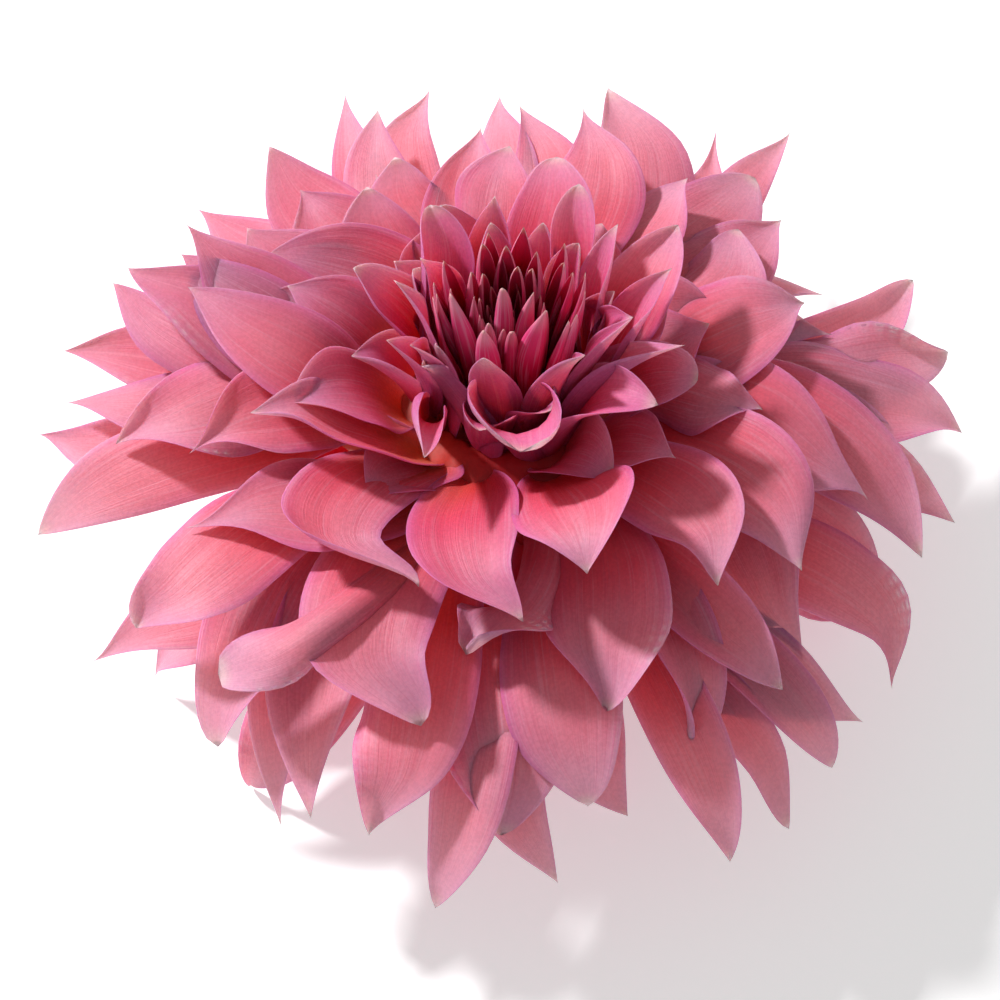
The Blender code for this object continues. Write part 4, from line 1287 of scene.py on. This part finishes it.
@dataclass
class RayPetals:
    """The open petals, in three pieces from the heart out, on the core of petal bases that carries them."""

    florets: Forms
    clearance: Clearance
    bands: tuple[tuple[str, float, float], ...] = (
        ("inner_petals", 5.4, SHUT_ABOVE),
        ("middle_petals", 2.4, 5.4),
        ("outer_petals", -2.0, 2.4),
    )
    core_radius: float = 38.0 * MM
    core_bottom: float = 42.2 * MM
    heart_base: float = 62.0 * MM
    well: float = 17.6 * MM

    def build(self) -> None:
        """Builds and dresses the bands of petals and the core."""
        finish = PetalFinish().material("salmon_pink_petal")
        layer = self.florets["layer"]
        for name, low, high in self.bands:
            form = chosen(self.florets, (layer >= low) & (layer < high))
            shell = Blades(form, self.clearance.outside_heart).shell()
            stands_for(shell.to_object(name), "ray_petals", finish)
        core = turned_shell(self.core_profile(), 40, 34, 0.03)
        along = core.values["along"]
        core.values = {name: np.full_like(along, value) for name, value in self.core_values().items()}
        stands_for(core.to_object("petal_bases"), "ray_petals", finish)

    def core_profile(self) -> list[tuple[float, float]]:
        """The core's profile, with a well in its top for the heart."""
        radius, bottom = self.core_radius, self.core_bottom
        return [
            (0.0, bottom),
            (0.5 * radius, bottom),
            (0.88 * radius, bottom + 4 * MM),
            (radius, bottom + 10 * MM),
            (0.92 * radius, bottom + 18 * MM),
            (0.7 * radius, self.heart_base + 5 * MM),
            (self.well + 1.5 * MM, self.heart_base + 7 * MM),
            (self.well, self.heart_base - 0.5 * MM),
            (0.0, self.heart_base - 0.5 * MM),
        ]

    @staticmethod
    def core_values() -> dict[str, float]:
        """The core is coloured as the throats of the petals are."""
        return {"across": 0.0, "along": 0.0, "layer": 6.0, "tone": 0.0, "face": 1.0}


@dataclass
class HeartFlorets:
    """The shut florets round the eye, on the low dome in the middle of the receptacle."""

    florets: Forms
    clearance: Clearance
    foot: float = 14.0 * MM
    base: float = 62.0 * MM
    dome: float = 9.0 * MM

    def build(self) -> None:
        """Builds and dresses the florets and the dome."""
        finish = HeartFinish().material("magenta_heart")
        form = chosen(self.florets, self.florets["layer"] > SHUT_ABOVE)
        blades = Blades(form, self.clearance.inside_heart, stations=22, strips=10, thickness=0.4 * MM)
        stands_for(blades.shell().to_object("shut_florets"), "heart_florets", finish)
        profile = [
            (0.0, self.base),
            (self.foot - 0.6 * MM, self.base),
            (self.foot, self.base + 1.2 * MM),
            (0.75 * self.foot, self.base + 0.75 * self.dome),
            (0.4 * self.foot, self.base + 0.95 * self.dome),
            (0.0, self.base + self.dome),
        ]
        core = turned_shell(profile, 20, 21, 0.03)
        for name, value in {"along": 0.1, "layer": 11.0, "tone": 0.5, "face": 1.0}.items():
            core.values[name] = np.full_like(core.values["across"], value)
        stands_for(core.to_object("floret_dome"), "heart_florets", finish)


@dataclass
class Calyx:
    """The green cup under the receptacle and its ring of bracts."""

    clearance: Clearance
    top: float = 41.7 * MM
    bottom: float = 33.0 * MM
    radius: float = 13.0 * MM
    bracts: int = 8
    bract_length: float = 21.0 * MM
    bract_width: float = 9.0 * MM

    def build(self) -> None:
        """Builds and dresses the cup and the bracts."""
        finish = GreenFinish().material("green_calyx")
        profile = [
            (0.0, self.bottom),
            (0.55 * self.radius, self.bottom),
            (0.85 * self.radius, self.bottom + 2.5 * MM),
            (self.radius, self.top - 3 * MM),
            (self.radius, self.top),
            (0.0, self.top),
        ]
        cup = turned_shell(profile, 28, 16, 0.02)
        stands_for(cup.to_object("calyx_cup"), "calyx", finish)
        blades = Blades(self.bract_forms(), self.clearance.above_table, 20, 12, 1.0 * MM)
        stands_for(blades.shell().to_object("bracts"), "calyx", finish)

    def bract_forms(self) -> Forms:
        """The forms of the bracts, which bend down beside the stem, evenly round it and varied a little."""
        rng = np.random.default_rng(SEED + 2)
        count = self.bracts
        even = {
            "root_out": 0.72 * self.radius,
            "root_up": self.bottom + 3.5 * MM,
            "tip_out": 0.72 * self.radius + 0.75 * self.bract_length,
            "tip_up": self.bottom - 0.35 * self.bract_length,
            "rise_root": math.radians(-4.0),
            "rise_tip": math.radians(-52.0),
            "width": self.bract_width,
            "tail": 0.8,
            "fold_root": -0.2,
            "fold_mid": -0.3,
            "fold_tip": 0.1,
            "layer": 0.0,
            "waves": 1.0,
            "pleat": 0.6,
        }
        form = {name: np.full(count, value) for name, value in even.items()}
        for name in ("side", "twist", "roll", "hook", "crook", "skew"):
            form[name] = np.zeros(count)
        form["turn"] = 2 * np.pi * (np.arange(count) + 0.5) / count
        form["lop"] = rng.normal(0, 0.1, count)
        form["ruffle"] = rng.uniform(0.02, 0.06, count)
        form["wave"] = rng.uniform(0, 2 * np.pi, count)
        form["tone"] = rng.uniform(0, 1, count)
        return form


@dataclass
class Stem:
    """The short stem stub, cut flat at its foot."""

    top: float = 32.7 * MM
    radius: float = 4.4 * MM
    foot_radius: float = 4.9 * MM

    def build(self) -> None:
        """Builds and dresses the stem."""
        finish = GreenFinish((0.06, 0.13, 0.03), (0.15, 0.26, 0.07), (0.34, 0.40, 0.18))
        profile = [
            (0.0, 0.0),
            (self.foot_radius - 0.3 * MM, 0.0),
            (self.foot_radius, 0.4 * MM),
            (self.radius, 0.55 * self.top),
            (1.15 * self.radius, self.top),
            (0.0, self.top),
        ]
        stem = turned_shell(profile, 40, 6, 0.03)
        stands_for(stem.to_object("stem_stub"), "stem", finish.material("green_stem"))


@dataclass
class Studio:
    """A plain pale floor, soft light from behind and above, and the camera at the photograph's angle."""

    sight: SightLine = field(default_factory=SightLine)
    floor_reach: float = 20.0
    floor_lines: int = 9
    lens: float = 72.3
    sensor: float = 36.0
    key_place: tuple[float, float, float] = (-0.75, 0.5, 0.9)
    key_power: float = 18.5
    key_size: float = 0.1
    sky: float = 0.38

    def build(self) -> None:
        """Builds the floor, the light and the camera."""
        self.lay_floor()
        self.light()
        self.set_camera()

    def lay_floor(self) -> None:
        """Lays a floor whose middle is under the bloom, as a grid of two parameters at height 0."""
        reach = np.linspace(-self.floor_reach, self.floor_reach, self.floor_lines)
        x, y = np.meshgrid(reach, reach)
        points = np.stack([x, y, np.zeros_like(x)], axis=-1).reshape(-1, 3)
        at = np.arange(x.size).reshape(x.shape)
        quads = np.stack([at[:-1, :-1], at[:-1, 1:], at[1:, 1:], at[1:, :-1]], axis=-1).reshape(-1, 4)
        floor = Shell(points, quads, np.zeros((0, 3), np.int64), {}).to_object("floor")
        floor.data.materials.append(FloorFinish().material("pale_floor"))

    def light(self) -> None:
        """Hangs one soft lamp behind and above, in an even pale room."""
        lamp = bpy.data.lights.new("key_light", "AREA")
        lamp.energy, lamp.size = self.key_power, self.key_size
        hung = bpy.data.objects.new("key_light", lamp)
        hung.location = self.key_place
        hung.rotation_euler = (Vector((0.0, 0.0, 0.05)) - hung.location).to_track_quat("-Z", "Y").to_euler()
        bpy.context.scene.collection.objects.link(hung)
        world = bpy.data.worlds.new("pale_room")
        world.use_nodes = True
        background = world.node_tree.nodes["Background"]
        background.inputs["Color"].default_value = (1.0, 1.0, 1.0, 1.0)
        background.inputs["Strength"].default_value = self.sky
        bpy.context.scene.world = world
        bpy.context.scene.view_settings.view_transform = "Standard"

    def set_camera(self) -> None:
        """Sets the camera at the eye of the line of sight, looking at its aim."""
        camera = bpy.data.cameras.new("camera")
        camera.lens, camera.sensor_width = self.lens, self.sensor
        stand = bpy.data.objects.new("camera", camera)
        stand.location = Vector(self.sight.eye())
        stand.rotation_euler = (Vector(self.sight.aim) - stand.location).to_track_quat("-Z", "Y").to_euler()
        bpy.context.scene.collection.objects.link(stand)
        bpy.context.scene.camera = stand


def main() -> None:
    """Builds every sub-assembly in order and notes each piece's faces."""
    logging.basicConfig(level=logging.INFO, format="%(name)s: %(message)s")
    clearance = Clearance()
    florets = Spiral().florets()
    RayPetals(florets, clearance).build()
    HeartFlorets(florets, clearance).build()
    Calyx(clearance).build()
    Stem().build()
    Studio().build()


if __name__ == "__main__":
    main()
